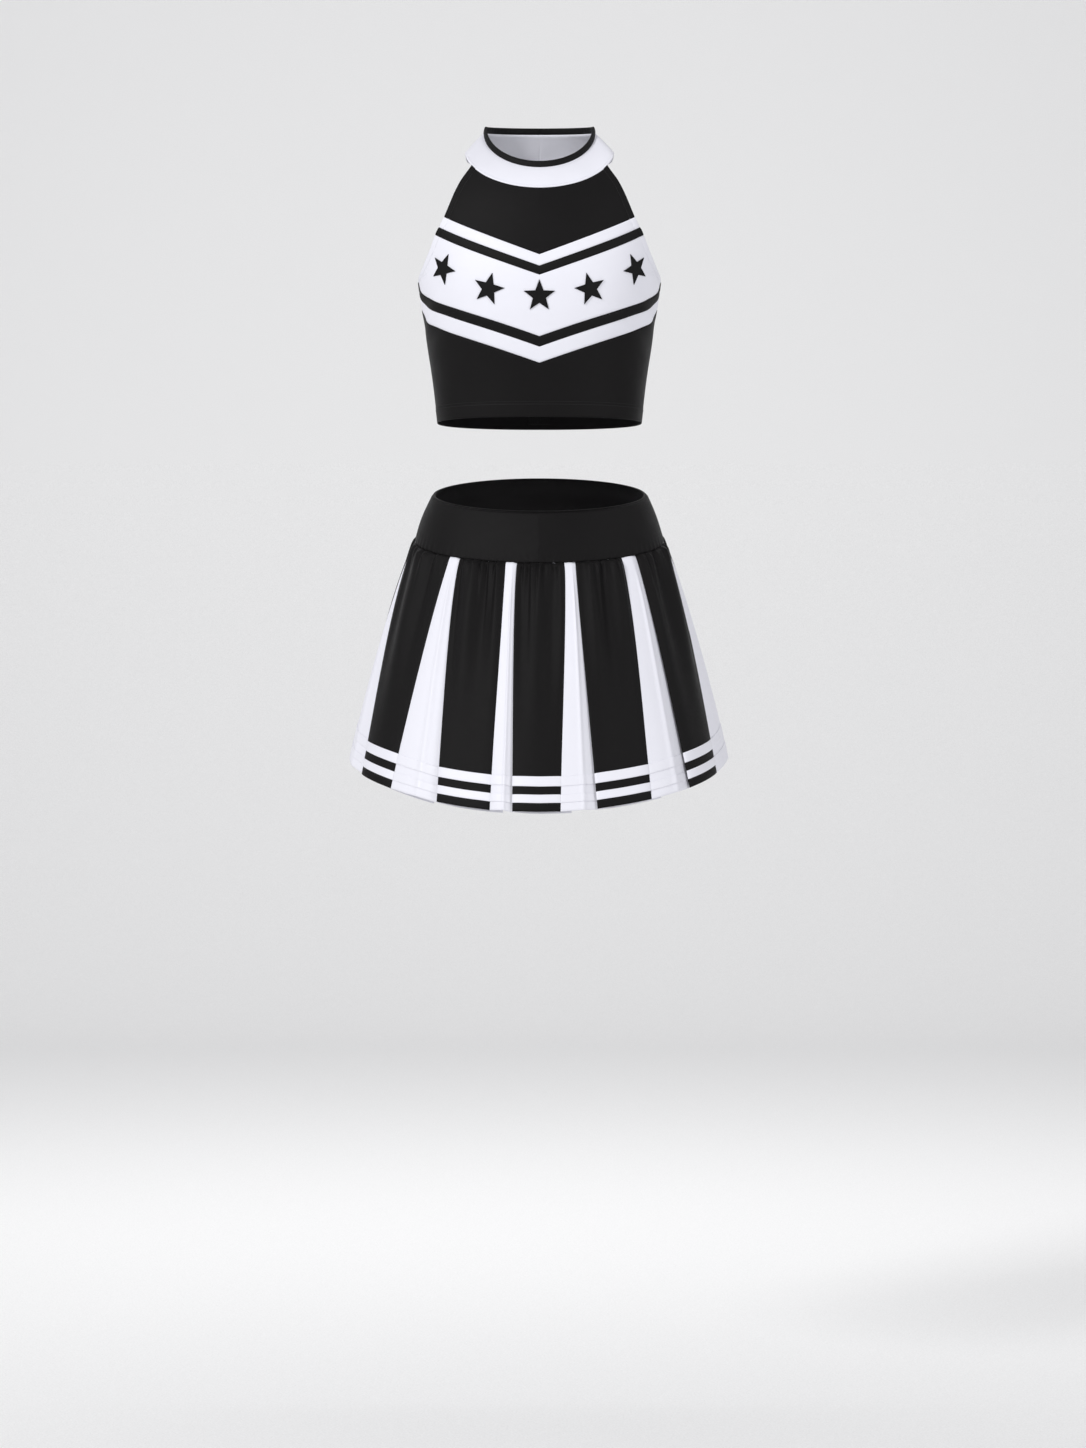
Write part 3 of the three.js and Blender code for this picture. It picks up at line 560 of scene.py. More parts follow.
def cloth_piece(name, points, thickness, material, ring=False):
    """A closed sheet with rounded edges under a grid of points on its outer face."""
    normals = grid_normals(points, ring)
    u, v = cloth_lengths(points)
    if ring:
        points, normals, u, v = points[:-1], normals[:-1], u[:-1], v[:-1]
    columns, rows = points.shape[:2]
    inner = points - normals * thickness
    ids = np.arange(columns * rows).reshape(columns, rows)
    vertices = [points.reshape(-1, 3), inner.reshape(-1, 3)]
    own_coords = np.stack([u, v], -1).reshape(-1, 2)
    coords = [own_coords] * 2
    wide = np.concatenate([ids, ids[:1]]) if ring else ids
    quads = grid_quads(wide)
    total = columns * rows
    faces = [quads, quads[:, ::-1] + total]
    if ring:
        loops = [wide[:, 0], wide[:, -1][::-1]]
    else:
        loops = [np.concatenate([ids[:, 0], ids[-1, 1:], ids[-2::-1, -1], ids[0, -2::-1]])]
    middle = (points + inner) / 2
    out = np.zeros_like(points)
    down = unit(np.gradient(points, axis=1))
    out[:, 0] -= down[:, 0]
    out[:, -1] += down[:, -1]
    if not ring:
        along = unit(np.gradient(points, axis=0))
        out[0] -= along[0]
        out[-1] += along[-1]
    middle = (middle + out * thickness * EDGE_ROUND).reshape(-1, 3)
    base = 2 * total
    for loop in loops:
        own = loop[:-1]
        vertices.append(middle[own])
        coords.append(own_coords[own])
        mid = base + np.arange(len(own))
        following = np.roll(mid, -1)
        nxt = loop[1:]
        faces.append(np.stack([own, mid, following, nxt], -1))
        faces.append(np.stack([mid, own + total, nxt + total, following], -1))
        base += len(own)
    quads = np.concatenate(faces).tolist()
    return new_object(name, np.concatenate(vertices), quads, material, np.concatenate(coords))


def settle(obj, body_name, slot, *nodes):
    """What a piece rides on, the slot of its finish and the CAD nodes it stands for."""
    if body_name:
        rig.ride(obj, body_name)
    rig.slot(obj, slot)
    if nodes:
        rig.replaces(obj, *nodes)
    return obj


def declare(obj, points, held="stretched", rests_on=(), trims=()):
    """Says that a piece is a sheet, with the size of its cut and the trims sewn onto it."""
    width, length, area = cut_of(points)
    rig.sheet(obj, flat=(width, length), held=held, rests_on=list(rests_on), area=area,
             with_pieces=list(trims))


def cut_of(points):
    """Flat size of a sheet's cut: widest row, longest column, and the area between its edges."""
    across = np.linalg.norm(np.diff(points, axis=0), axis=-1)
    down = np.linalg.norm(np.diff(points, axis=1), axis=-1)
    width = float(across.sum(0).max())
    length = float(down.sum(1).max())
    cell = (across[:, 1:] + across[:, :-1]) / 2 * (down[1:] + down[:-1]) / 2
    return width, length, min(float(cell.sum()), width * length)


def bar_mesh(name, frames, size, material):
    """Many small rounded dashes: frames is a list of (centre, along, side, up) unit triples."""
    length, width, height = size
    sections = ((-0.5, 0.3), (-0.25, 0.5), (0.25, 0.5), (0.5, 0.3))  # place along the bar, half size
    corners = ((-1, -1), (1, -1), (1, 1), (-1, 1))
    bar = [(place, half * a, half * b) for place, half in sections for a, b in corners]
    bar = np.array(bar)[None] * (length, width, height)
    centre, along, side, up = (np.asarray(x)[:, None] for x in frames)
    points = centre + along * bar[..., :1] + side * bar[..., 1:2] + up * bar[..., 2:]
    cell = [(0, 3, 2, 1), (12, 13, 14, 15)]
    for k in range(3):
        for i in range(4):
            j = (i + 1) % 4
            cell.append((4 * k + i, 4 * k + j, 4 * k + 4 + j, 4 * k + 4 + i))
    faces = (np.array(cell)[None] + 16 * np.arange(len(points))[:, None, None]).reshape(-1, 4)
    return new_object(name, points, faces.tolist(), material)


def stitch_frames(path, normals, pitch, keep=None):
    """Evenly spaced frames for stitches along a path with its surface normals, where keep is true."""
    reach = run_of(path)
    count = max(int(reach[-1] / pitch), 1)
    at = (np.arange(count) + 0.5) * reach[-1] / count
    centre = sample(at, reach, path)
    along = unit(sample(at + pitch / 4, reach, path) - centre)
    along[-1] = along[max(len(along) - 2, 0)]
    up = unit(sample(at, reach, normals))
    chosen = slice(None) if keep is None else np.interp(at, reach, keep.astype(float)) > 0.5
    return [frame_part[chosen] for frame_part in (centre, along, np.cross(up, along), up)]


def join_frames(parts):
    return [np.concatenate(group) for group in zip(*parts)]


# ---- materials

class Nodes:
    """Short names for adding shader nodes to one material."""

    def __init__(self, name):
        self.material = bpy.data.materials.new(name)
        self.material.use_nodes = True
        self.tree = self.material.node_tree
        self.shader = self.tree.nodes["Principled BSDF"]

    def add(self, kind, inputs=None, **settings):
        node = self.tree.nodes.new(kind)
        for key, value in settings.items():
            setattr(node, key, value)
        for key, value in (inputs or {}).items():
            if isinstance(value, bpy.types.NodeSocket):
                self.tree.links.new(value, node.inputs[key])
            else:
                node.inputs[key].default_value = value
        return node

    def math(self, operation, *values):
        return self.add("ShaderNodeMath", dict(enumerate(values)), operation=operation).outputs[0]

    def bands(self, coordinate, period):
        """A sine of 0 to 1 along a coordinate in metres."""
        wave = self.math("SINE", self.math("MULTIPLY", coordinate, 2 * math.pi / period))
        return self.math("MULTIPLY_ADD", wave, 0.5, 0.5)


def fabric(name, colour, rough, weave, depth, sheen, mottle, gloss, twill=True):
    """Woven or knitted cloth: thread relief, uneven dye, soft creases and a dusting of sheen."""
    n = Nodes(name)
    uv = n.add("ShaderNodeUVMap", uv_map="cloth").outputs[0]
    split = n.add("ShaderNodeSeparateXYZ", {0: uv})
    x, y = split.outputs[0], split.outputs[1]
    if twill:
        first = n.bands(n.math("ADD", x, y), weave)
        second = n.bands(n.math("SUBTRACT", x, n.math("MULTIPLY", y, 2.1)), weave * 0.62)
    else:
        first = n.bands(x, weave)
        second = n.bands(n.math("ADD", y, n.math("MULTIPLY", first, weave * 0.35)), weave * 0.8)
    threads = n.math("MULTIPLY_ADD", second, 0.45, first)
    grain = n.add("ShaderNodeTexNoise", {"Vector": uv, "Scale": 900.0, "Detail": 2.0}).outputs[0]
    cloud = n.add("ShaderNodeTexNoise", {"Vector": uv, "Scale": 34.0, "Detail": 3.0}).outputs[0]
    relief = n.math("MULTIPLY_ADD", grain, 0.6, threads)
    bump = n.add("ShaderNodeBump", {"Strength": 0.55, "Distance": depth, "Height": relief})
    crease = n.add("ShaderNodeTexNoise", {"Vector": uv, "Scale": 26.0, "Detail": 2.5, "Distortion": 0.6})
    bend = n.add(
        "ShaderNodeBump",
        {"Strength": 0.5, "Distance": 0.5 * mm, "Height": crease.outputs[0], "Normal": bump.outputs[0]},
    )
    n.tree.links.new(bend.outputs[0], n.shader.inputs["Normal"])
    tone = n.math("MULTIPLY_ADD", threads, mottle, n.math("MULTIPLY_ADD", cloud, mottle, 1 - 1.2 * mottle))
    mix = n.add("ShaderNodeVectorMath", {0: (*colour,), 3: tone}, operation="SCALE")
    n.tree.links.new(mix.outputs[0], n.shader.inputs["Base Color"])
    worn = n.math("MULTIPLY_ADD", cloud, 0.14, rough - 0.07)
    n.tree.links.new(worn, n.shader.inputs["Roughness"])
    n.shader.inputs["Sheen Weight"].default_value = sheen
    n.shader.inputs["Sheen Roughness"].default_value = 0.45
    n.shader.inputs["Specular IOR Level"].default_value = gloss
    return n.material


def hard(name, colour, rough, metallic=0.0, scratch=0.1):
    """Enamelled metal or moulded plastic with fine uneven gloss."""
    n = Nodes(name)
    place = n.add("ShaderNodeTexCoord").outputs["Object"]
    wear = n.add("ShaderNodeTexNoise", {"Vector": place, "Scale": 420.0, "Detail": 4.0}).outputs[0]
    n.tree.links.new(n.math("MULTIPLY_ADD", wear, scratch, rough), n.shader.inputs["Roughness"])
    tone = n.math("MULTIPLY_ADD", wear, 0.3, 0.85)
    mix = n.add("ShaderNodeVectorMath", {0: (*colour,), 3: tone}, operation="SCALE")
    n.tree.links.new(mix.outputs[0], n.shader.inputs["Base Color"])
    bump = n.add("ShaderNodeBump", {"Strength": 0.2, "Distance": 0.05 * mm, "Height": wear})
    n.tree.links.new(bump.outputs[0], n.shader.inputs["Normal"])
    n.shader.inputs["Metallic"].default_value = metallic
    return n.material


BLACK = (0.0062, 0.0057, 0.006)
WHITE = (0.8, 0.8, 0.865)
# Each cloth: colour, roughness, weave, thread depth, sheen, mottle, gloss, and False if not a twill.
black_knit = fabric("black_knit", BLACK, 0.5, 1.3 * mm, 0.12 * mm, 0.012, 0.2, 0.1)
white_satin = fabric("white_satin", WHITE, 0.5, 0.9 * mm, 0.05 * mm, 0.03, 0.015, 0.3)
black_braid = fabric("black_braid", (0.006, 0.0058, 0.006), 0.55, 1.5 * mm, 0.2 * mm, 0.01, 0.25, 0.12, False)
white_ribbon = fabric("white_ribbon", WHITE, 0.42, 1.1 * mm, 0.1 * mm, 0.03, 0.02, 0.4, False)
elastic_web = fabric("elastic_web", (0.66, 0.66, 0.64), 0.8, 1.6 * mm, 0.3 * mm, 0.03, 0.06, 0.3, False)
black_elastic = fabric("black_elastic", BLACK, 0.6, 0.8 * mm, 0.15 * mm, 0.02, 0.2, 0.2, False)
black_thread = hard("black_thread", (0.009, 0.009, 0.0095), rough=0.6)
white_thread = hard("white_thread", (0.8, 0.8, 0.86), rough=0.55)
zip_metal = hard("zip_metal", (0.03, 0.03, 0.032), rough=0.28, metallic=0.85, scratch=0.2)
zip_coil = hard("zip_coil", (0.012, 0.012, 0.013), rough=0.42)
button_plastic = hard("button_plastic", (0.012, 0.012, 0.013), rough=0.18)
CLOTHS = {
    "black_knit": (black_knit, KNIT),
    "white_satin": (white_satin, SATIN),
    "black_braid": (black_braid, BRAID),
}


# ---- camera, light and floor

CAMERA_PLACE = (0.0042, -4.2, -0.275)
FOCAL_LENGTH = 87.0
FLOOR = -1.09


def add_camera():
    data = bpy.data.cameras.new("camera")
    data.sensor_fit = "VERTICAL"
    data.sensor_height = 36
    data.lens = FOCAL_LENGTH
    camera = bpy.data.objects.new("camera", data)
    camera.location = CAMERA_PLACE
    camera.rotation_euler = (math.radians(90), 0, 0)
    bpy.context.scene.collection.objects.link(camera)
    bpy.context.scene.camera = camera


def add_light(name, where, towards, size, power):
    data = bpy.data.lights.new(name, "AREA")
    data.shape = "RECTANGLE"
    data.size, data.size_y = size
    data.energy = power
    lamp = bpy.data.objects.new(name, data)
    lamp.location = where
    lamp.visible_camera = False
    lamp.rotation_euler = (Vector(towards) - Vector(where)).to_track_quat("-Z", "Y").to_euler()
    bpy.context.scene.collection.objects.link(lamp)


def add_stage():
    """A pale sweep: floor, a wide bend and a wall far enough behind to leave room all round."""
    bend, wall, near, half, top, steps = 1.6, 6.2, -7.0, 9.0, 6.0, 16
    profile = [(near, FLOOR), (wall - bend, FLOOR)]
    for i in range(1, steps + 1):
        turn = i / steps * math.pi / 2
        profile.append((wall - bend + bend * math.sin(turn), FLOOR + bend * (1 - math.cos(turn))))
    profile.append((wall, top))
    points = np.array([[(x, y, z) for y, z in profile] for x in (-half, half)])
    ids = np.arange(points.shape[0] * points.shape[1]).reshape(points.shape[:2])
    paper = hard("backdrop_paper", (0.88, 0.88, 0.88), rough=0.85, scratch=0.05)
    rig.stage(new_object("backdrop", points, grid_quads(ids).tolist(), paper))


add_camera()
add_stage()
add_light("key", (-2.9, -3.2, 2.5), (0, 0, 0), size=(1.1, 1.6), power=134)
add_light("fill", (3.4, -3.1, 1.3), (0, 0, -0.1), size=(1.2, 1.8), power=56)
add_light("wall_wash", (0, 0.7, 1.7), (0, 6.2, -0.5), size=(2.4, 0.8), power=54)
world = bpy.data.worlds.new("studio")
world.use_nodes = True
world.node_tree.nodes["Background"].inputs[0].default_value = (0.98, 0.98, 1.0, 1)
world.node_tree.nodes["Background"].inputs[1].default_value = 0.5
bpy.context.scene.world = world
bpy.context.scene.view_settings.view_transform = "Standard"


# ---- crop top

def panel_grid(low_line, high_line, share, rows, back):
    """Lengths from the centre line and heights of a panel between two lines, at shares of its reach."""
    low = crossing(low_line, np.abs(share), back)
    high = crossing(high_line, np.abs(share), back)
    height = between(low, high, rows)
    edge = slot_edge(height) if back else 0
    return edge + share[:, None] * (reach_at(height, back) - edge), height


def dressed(length, height, back, side=1, lift=0.0):
    """Grid points of the cloth over the body at lengths from the panel's own centre line."""
    round_body = side * (BACK - length) if back else length
    base = body(round_body, height)
    return base + grid_normals(base) * (top_relief(length, height, back) + lift)[..., None]


# Bands from the hem up: name, seam at the upper edge, rows of the grid and slot.
LOWER_BANDS = (
    ("body", LOWER_WHITE_SEAM, 70, "black_knit"),
    ("lower_white_stripe", LOWER_BLACK_SEAM, 14, "white_satin"),
    ("lower_black_braid", CHEST_SEAM, 12, "black_braid"),
)
YOKE_BAND = ("yoke", None, 70, "black_knit")
FRONT_BANDS = (
    *LOWER_BANDS,
    ("chest", UPPER_BLACK_SEAM, 64, "white_satin"),
    ("upper_black_braid", UPPER_WHITE_SEAM, 10, "black_braid"),
    ("upper_white_stripe", YOKE_SEAM, 14, "white_satin"),
    YOKE_BAND,
)
BACK_BANDS = (*LOWER_BANDS, ("chest", YOKE_SEAM, 80, "white_satin"), YOKE_BAND)
FRONT_SHARES = np.linspace(-1, 1, 221)
BACK_SHARES = np.linspace(0, 1, 111)


def build_panels(place, bands, share, side=1, stars=(), facings=()):
    """Panels are sheets of cloth; braids, stars and facings are trims sewn onto them."""
    back = place != "front"
    low, made, braids = hem_line, [], []
    for name, seam, rows, slot in bands:
        high = chevron(seam, back) if seam else collar_line(back)
        material, thickness = CLOTHS[slot]
        is_braid = slot == "black_braid"
        length, height = panel_grid(low, high, share, rows, back)
        points = dressed(length, height, back, side, BRAID_LIFT if is_braid else 0)
        piece = cloth_piece(f"{place}_{name}_cloth", points, thickness, material)
        settle(piece, "crop_top", slot, f"{place}_{name}")
        if is_braid:
            braids.append(piece)
        else:
            made.append((name, piece, points))
        low = high
    trims = {"chest": [*braids, *stars], "yoke": facings}
    for name, piece, points in made:
        declare(piece, points, trims=trims.get(name, ()))


# ---- collar and binding

def collar_edge(turn):
    angle = turn * math.pi
    back = np.cos(angle) < 0
    x = COLLAR_HALF_WIDTH * np.sin(angle)
    z = COLLAR_SIDE_HEIGHT - np.where(back, 0, COLLAR_FRONT_DROP * np.cos(angle))
    row = smooth_rows(TORSO, z)
    depth = np.where(back, -row[..., 3], row[..., 2])
    depth = depth * (1 - (np.abs(x) / row[..., 1]) ** ROUNDNESS) ** (1 / ROUNDNESS)
    from_centre = np.where(back, 1 - np.abs(turn), np.abs(turn))
    return np.stack([x, -depth * (1 - (2 * from_centre) ** 16), z], -1)


def neck_edge(turn):
    angle = turn * math.pi
    ahead = np.cos(angle)
    depth = np.where(ahead > 0, NECK_FRONT, NECK_BACK)
    drop = np.where(ahead > 0, NECK_FRONT_DROP, NECK_BACK_RISE)
    return np.stack([NECK_HALF_WIDTH * np.sin(angle), -depth * ahead, NECK_SIDE_HEIGHT - drop * ahead], -1)


COLLAR_TURN = 1 - COLLAR_JOIN / 2 / (math.pi * NECK_BACK)
COLLAR_COLUMNS = 320
COLLAR_ROWS = 24
COLLAR_WIDTH = 36 * mm
COLLAR_SEWN = (0.1, 0.93)  # rows of stitches, as shares of the collar's width


def collar_turns(columns):
    return np.linspace(-COLLAR_TURN, COLLAR_TURN, columns + 1)


def outward(turn):
    return np.stack([np.sin(turn * math.pi), -np.cos(turn * math.pi), 0 * turn], -1)[:, None]


def collar_grid(columns, rows):
    turn = collar_turns(columns)
    bulge = COLLAR_BULGE * np.sin(np.linspace(0, 1, rows + 1) * math.pi)
    return between(collar_edge(turn), neck_edge(turn), rows) + outward(turn) * bulge[None, :, None]


def build_collar(binding):
    points = collar_grid(COLLAR_COLUMNS, COLLAR_ROWS)
    normals = grid_normals(points)
    v = np.linspace(0, 1, COLLAR_ROWS + 1)
    relief = 0.25 * mm * np.sin(collar_turns(COLLAR_COLUMNS) * 41)[:, None] * bell(v - 0.25, 0.3)
    for share in COLLAR_SEWN:
        relief = relief - groove((v - share) * COLLAR_WIDTH, (0.35 * mm, 0.9 * mm))
    points = points + normals * (relief + 0.6 * mm)[..., None]
    band = cloth_piece("collar_band_cloth", points, 1.9 * mm, white_satin)
    settle(band, "crop_top", "white_satin", "collar_band")
    rows = []
    for share in COLLAR_SEWN:
        at = round(share * COLLAR_ROWS)
        rows.append(stitch_frames(points[:, at] + normals[:, at] * 0.15 * mm, normals[:, at], 3.2 * mm))
    dashes = bar_mesh("collar_stitching", join_frames(rows), (2.4 * mm, 0.35 * mm, 0.3 * mm), white_thread)
    settle(dashes, "crop_top", "white_satin")
    declare(band, points, trims=[dashes, binding])


def build_binding():
    """A folded knit tape round the neck, rounded in section, with its two ends tucked in."""
    around = 22
    turn = collar_turns(COLLAR_COLUMNS)
    base = neck_edge(turn)
    spin = np.linspace(0, 2 * math.pi, around, endpoint=False)
    squared = 2 / 2.8
    across = 1.7 * mm * np.sign(np.cos(spin)) * np.abs(np.cos(spin)) ** squared
    up = BINDING_HEIGHT / 2 * np.sign(np.sin(spin)) * np.abs(np.sin(spin)) ** squared
    up = up + BINDING_HEIGHT / 2
    lean = -0.22 * up
    pucker = 1 + 0.05 * np.sin(turn * 190)[:, None]
    points = base[:, None] + outward(turn) * (across * pucker + lean)[..., None]
    points[..., 2] += up
    ids = np.arange(len(points) * around).reshape(-1, around)
    nxt = np.roll(ids, -1, axis=1)
    quads = np.stack([ids[:-1], ids[1:], nxt[1:], nxt[:-1]], -1).reshape(-1, 4).tolist()
    ends = [ids[0].tolist(), ids[-1][::-1].tolist()]
    along = run_of(base)[:, None] + 0 * up
    coords = np.stack([along, np.broadcast_to(spin * 3 * mm, along.shape)], -1)
    tape = new_object("neck_binding_tape", points, quads + ends, black_braid, coords.reshape(-1, 2))
    return settle(tape, "crop_top", "black_braid", "neck_binding")


# ---- stars

def build_star(index):
    """Twill star with a raised satin-stitched edge, lying on the chest panel."""
    spokes, rings = 120, 16
    length = (index - (STAR_COUNT - 1) / 2) * STAR_SPACING
    height = STAR_HEIGHT + STAR_ARC * length * length
    lean = math.atan(2 * STAR_ARC * length)
    corner = np.arange(STAR_CORNERS + 1)
    corner_angle = corner / STAR_CORNERS * 2 * math.pi
    radius = np.where(corner % 2 == 0, STAR_RADIUS, STAR_RADIUS * STAR_NOTCH)
    corners = np.stack([-radius * np.sin(corner_angle), radius * np.cos(corner_angle)], -1)
    at = np.linspace(0, STAR_CORNERS, spokes, endpoint=False)
    turn = np.array([[math.cos(lean), math.sin(lean)], [-math.sin(lean), math.cos(lean)]])
    rim = sample(at, corner, corners) @ turn
    share = np.concatenate([np.linspace(0.06, 0.8, rings - 7), np.linspace(0.84, 1.0, 8)])
    flat = rim[:, None] * share[None, :, None]
    points = body(length + flat[..., 0], height + flat[..., 1])
    step = np.linspace(-5 * mm, 5 * mm, 3)
    patch = body(*np.broadcast_arrays(length + step[:, None], height + step[None]))
    normal = grid_normals(patch)[1, 1]
    edge = ease((share - 0.86) / 0.05) * (1 - ease((share - 0.985) / 0.02) * 0.7)
    teeth = 0.12 * mm * np.cos(np.arange(spokes) * math.pi)[:, None] * edge
    lift = 0.75 * mm + 0.45 * mm * edge + teeth
    points = points + normal * lift[..., None]
    centre = body(np.array(length), np.array(height)) + normal * 0.75 * mm
    under = points[:, -1] - normal * 1.1 * mm
    vertices = np.concatenate([points.reshape(-1, 3), centre[None], under, centre[None] - normal * 0.6 * mm])
    coords = np.concatenate([flat.reshape(-1, 2), [[0, 0]], flat[:, -1], [[0, 0]]])
    ids = np.arange(spokes * len(share)).reshape(spokes, len(share))
    nxt = np.roll(ids, -1, axis=0)
    hub, low = spokes * len(share), spokes * len(share) + 1
    faces = np.stack([ids[:, :-1], ids[:, 1:], nxt[:, 1:], nxt[:, :-1]], -1).reshape(-1, 4).tolist()
    for k in range(spokes):
        j = (k + 1) % spokes
        faces.append((hub, int(ids[k, 0]), int(ids[j, 0])))
        faces.append((int(ids[k, -1]), low + k, low + j, int(ids[j, -1])))
        faces.append((low + spokes, low + j, low + k))
    star = new_object(f"star_{index + 1}_applique", vertices, faces, black_braid, coords)
    return settle(star, "crop_top", "black_braid", f"star_{index + 1}")


# ---- stitching and facings of the top

THREAD = (2.3 * mm, 0.34 * mm, 0.3 * mm)  # one stitch: length, width, height
STITCH_PITCH = 3.1 * mm
THREAD_LIFT = 0.15 * mm
NEEDLES = (-1.6 * mm, 1.6 * mm)  # the hem is sewn with twin needles
FACING_INSETS = np.linspace(9 * mm, 0.6 * mm, 8)


def top_line(length, height, back, side):
    """Points and outward normals of a line on the cloth of the top."""
    step = 0.5 * mm

    def at(more, up):
        own = length + more
        return body(side * (BACK - own) if back else own, height + up)

    normal = unit(np.cross(at(step, 0) - at(-step, 0), at(0, step) - at(0, -step)))
    normal *= -side if back else 1
    return at(0, 0) + normal * (top_relief(length, height, back) + THREAD_LIFT)[..., None], normal


def sew_top(name, lines):
    """Rows of stitches on the top, black on black cloth and white on white cloth."""
    for word, thread, slot in (("black", black_thread, "black_knit"), ("white", white_thread, "white_satin")):
        parts = []
        for length, height, back, side in lines:
            points, normal = top_line(length, height, back, side)
            black = is_black(length, height, back)
            parts.append(stitch_frames(points, normal, STITCH_PITCH, black if word == "black" else ~black))
        frames = join_frames(parts)
        if len(frames[0]):
            settle(bar_mesh(f"{name}_{word}", frames, THREAD, thread), "crop_top", slot)


def armhole_edge(back, inset, count=120):
    """Length and height of the armhole's edge, moved inset into the panel, from underarm to collar."""
    top = float(crossing(collar_line(back), np.array([1.0]), back)[0]) - 2 * mm
    height = np.linspace(ARMHOLE[0, 0], top, count)
    way = unit(np.gradient(np.stack([reach_at(height, back), height], -1), axis=0))
    return reach_at(height, back) - way[:, 1] * inset, height + way[:, 0] * inset


def build_armhole(side, word):
    rows = []
    for inset in FACING_INSETS:
        front, back = armhole_edge(False, inset), armhole_edge(True, inset)
        length = np.concatenate([front[0][::-1], BACK - back[0][1:]])
        height = np.concatenate([front[1][::-1], back[1][1:]])
        rows.append(body(side * length, height))
    points = np.stack(rows, 1)
    if side < 0:
        points = points[::-1]
    points = points - grid_normals(points) * (KNIT + 0.5 * mm)
    facing = cloth_piece(f"armhole_facing_{word}_cloth", points, 0.6 * mm, black_knit)
    return settle(facing, "crop_top", "black_knit", f"armhole_facing_{word}")


def build_stitching():
    lines = []
    for side in (1, -1):
        length, height = armhole_edge(False, EDGE_TURN)
        lines.append((side * length, height, False, 1))
        lines.append((*armhole_edge(True, EDGE_TURN), True, side))
    sew_top("armhole_stitching", lines)
    lines = []
    for needle in NEEDLES:
        front = np.linspace(2 * mm - SIDE, SIDE - 2 * mm, 400)
        rear = np.linspace(1 * mm, BACK - SIDE - 2 * mm, 200)
        height = TOP_HEM + HEM_TURN + needle
        lines.append((front, 0 * front + height, False, 1))
        lines.extend((rear, 0 * rear + height, True, side) for side in (1, -1))
    sew_top("top_hem_stitching", lines)
    height = np.linspace(ZIP_BOTTOM + 2 * mm, ZIP_TOP + 4 * mm, 300)
    length = slot_edge(height) + ZIP_STITCH
    sew_top("zip_stitching", [(length, height, True, side) for side in (1, -1)])


# ---- zip, button and loop

TAPE_WIDTH = 13 * mm
TAPE_RIB = 0.5 * mm
TOOTH = (2.9 * mm, 1.05 * mm, 1.5 * mm)  # one coil tooth: across, up the zip, front to back
LOOP_TAIL = 6 * mm  # how far the loop's ends run in under the collar
# The button from its stem to its dome: radius and height in millimetres.
BUTTON_PROFILE = (
    (0, 0), (1.8, 0), (1.8, 1.8), (4.7, 1.9), (5.3, 2.3), (5.5, 2.9), (5.3, 3.5), (4.7, 3.75), (4.1, 3.5),
    (3.6, 3.3), (2.4, 3.7), (1.2, 3.9), (0, 3.95),
)


def build_zip():
    """Woven tapes under the two back edges, with their coil teeth closed up to the slider."""
    for side, word in ((1, "left"), (-1, "right")):
        near, far = 0.15 * mm, TAPE_WIDTH
        across = np.linspace(far, near, 14) if side > 0 else np.linspace(-near, -far, 14)
        x, z = np.meshgrid(across, np.linspace(ZIP_BOTTOM, ZIP_TOP, 147), indexing="ij")
        y = ZIP_FACE - 1.9 * mm + 0.12 * mm * np.cos(x / TAPE_RIB)
        points = np.stack([x, y, z], -1)
        tape = cloth_piece(f"zip_tape_{word}_cloth", points, 0.5 * mm, black_braid)
        settle(tape, "crop_top", "black_braid", f"zip_tape_{word}")
        declare(tape, points)
        z = np.arange(ZIP_BOTTOM + 5 * mm, ZIP_TOP - 2 * mm, TOOTH_PITCH) + (side > 0) * TOOTH_PITCH / 2
        spread = 1.1 * mm * ease((z - SLIDER_REST) / (10 * mm))
        centre = np.stack([side * (0.75 * mm + spread), 0 * z + ZIP_FACE - 0.9 * mm, z], -1)
        along = np.tile((1.0, 0, 0), (len(z), 1))
        up = np.tile((0, 1.0, 0), (len(z), 1))
        teeth = bar_mesh(f"zip_teeth_{word}", (centre, along, np.cross(up, along), up), TOOTH, zip_coil)
        settle(teeth, "crop_top", "black_braid")


def tube(name, path, radius, material):
    """A round cord of wound threads along a path."""
    around = 14
    along = unit(np.gradient(path, axis=0))
    side = unit(np.cross(along, (0, 0.3, 1.0)))
    up = np.cross(side, along)
    spin = np.linspace(0, 2 * math.pi, around, endpoint=False)
    wound = radius * (1 + 0.07 * np.sin(3 * spin + np.arange(len(path))[:, None] * 0.9))
    ring = side[:, None] * np.cos(spin)[None, :, None] + up[:, None] * np.sin(spin)[None, :, None]
    points = path[:, None] + ring * wound[..., None]
    ids, quads = ring_quads(len(path), around)
    coords = np.stack(np.broadcast_arrays(run_of(path)[:, None], spin * radius), -1).reshape(-1, 2)
    ends = [ids[0].tolist()[::-1], ids[-1].tolist()]
    return new_object(name, points, quads + ends, material, coords)


def lathe(name, profile, centre, axis, material, around=64):
    """A turned piece from (radius, height) pairs that start and end on its axis."""
    side = np.array((1.0, 0, 0))
    up = np.cross(axis, side)
    spin = np.linspace(0, 2 * math.pi, around, endpoint=False)
    ring = side * np.cos(spin)[:, None] + up * np.sin(spin)[:, None]
    rows = [centre + ring * radius + axis * height for radius, height in profile[1:-1]]
    points = np.concatenate([*rows, [centre + axis * profile[0][1]], [centre + axis * profile[-1][1]]])
    ids, faces = ring_quads(len(rows), around)
    bottom, top = ids.size, ids.size + 1
    for k in range(around):
        j = (k + 1) % around
        faces.append((bottom, int(ids[0, j]), int(ids[0, k])))
        faces.append((top, int(ids[-1, k]), int(ids[-1, j])))
    return new_object(name, points, faces, material)


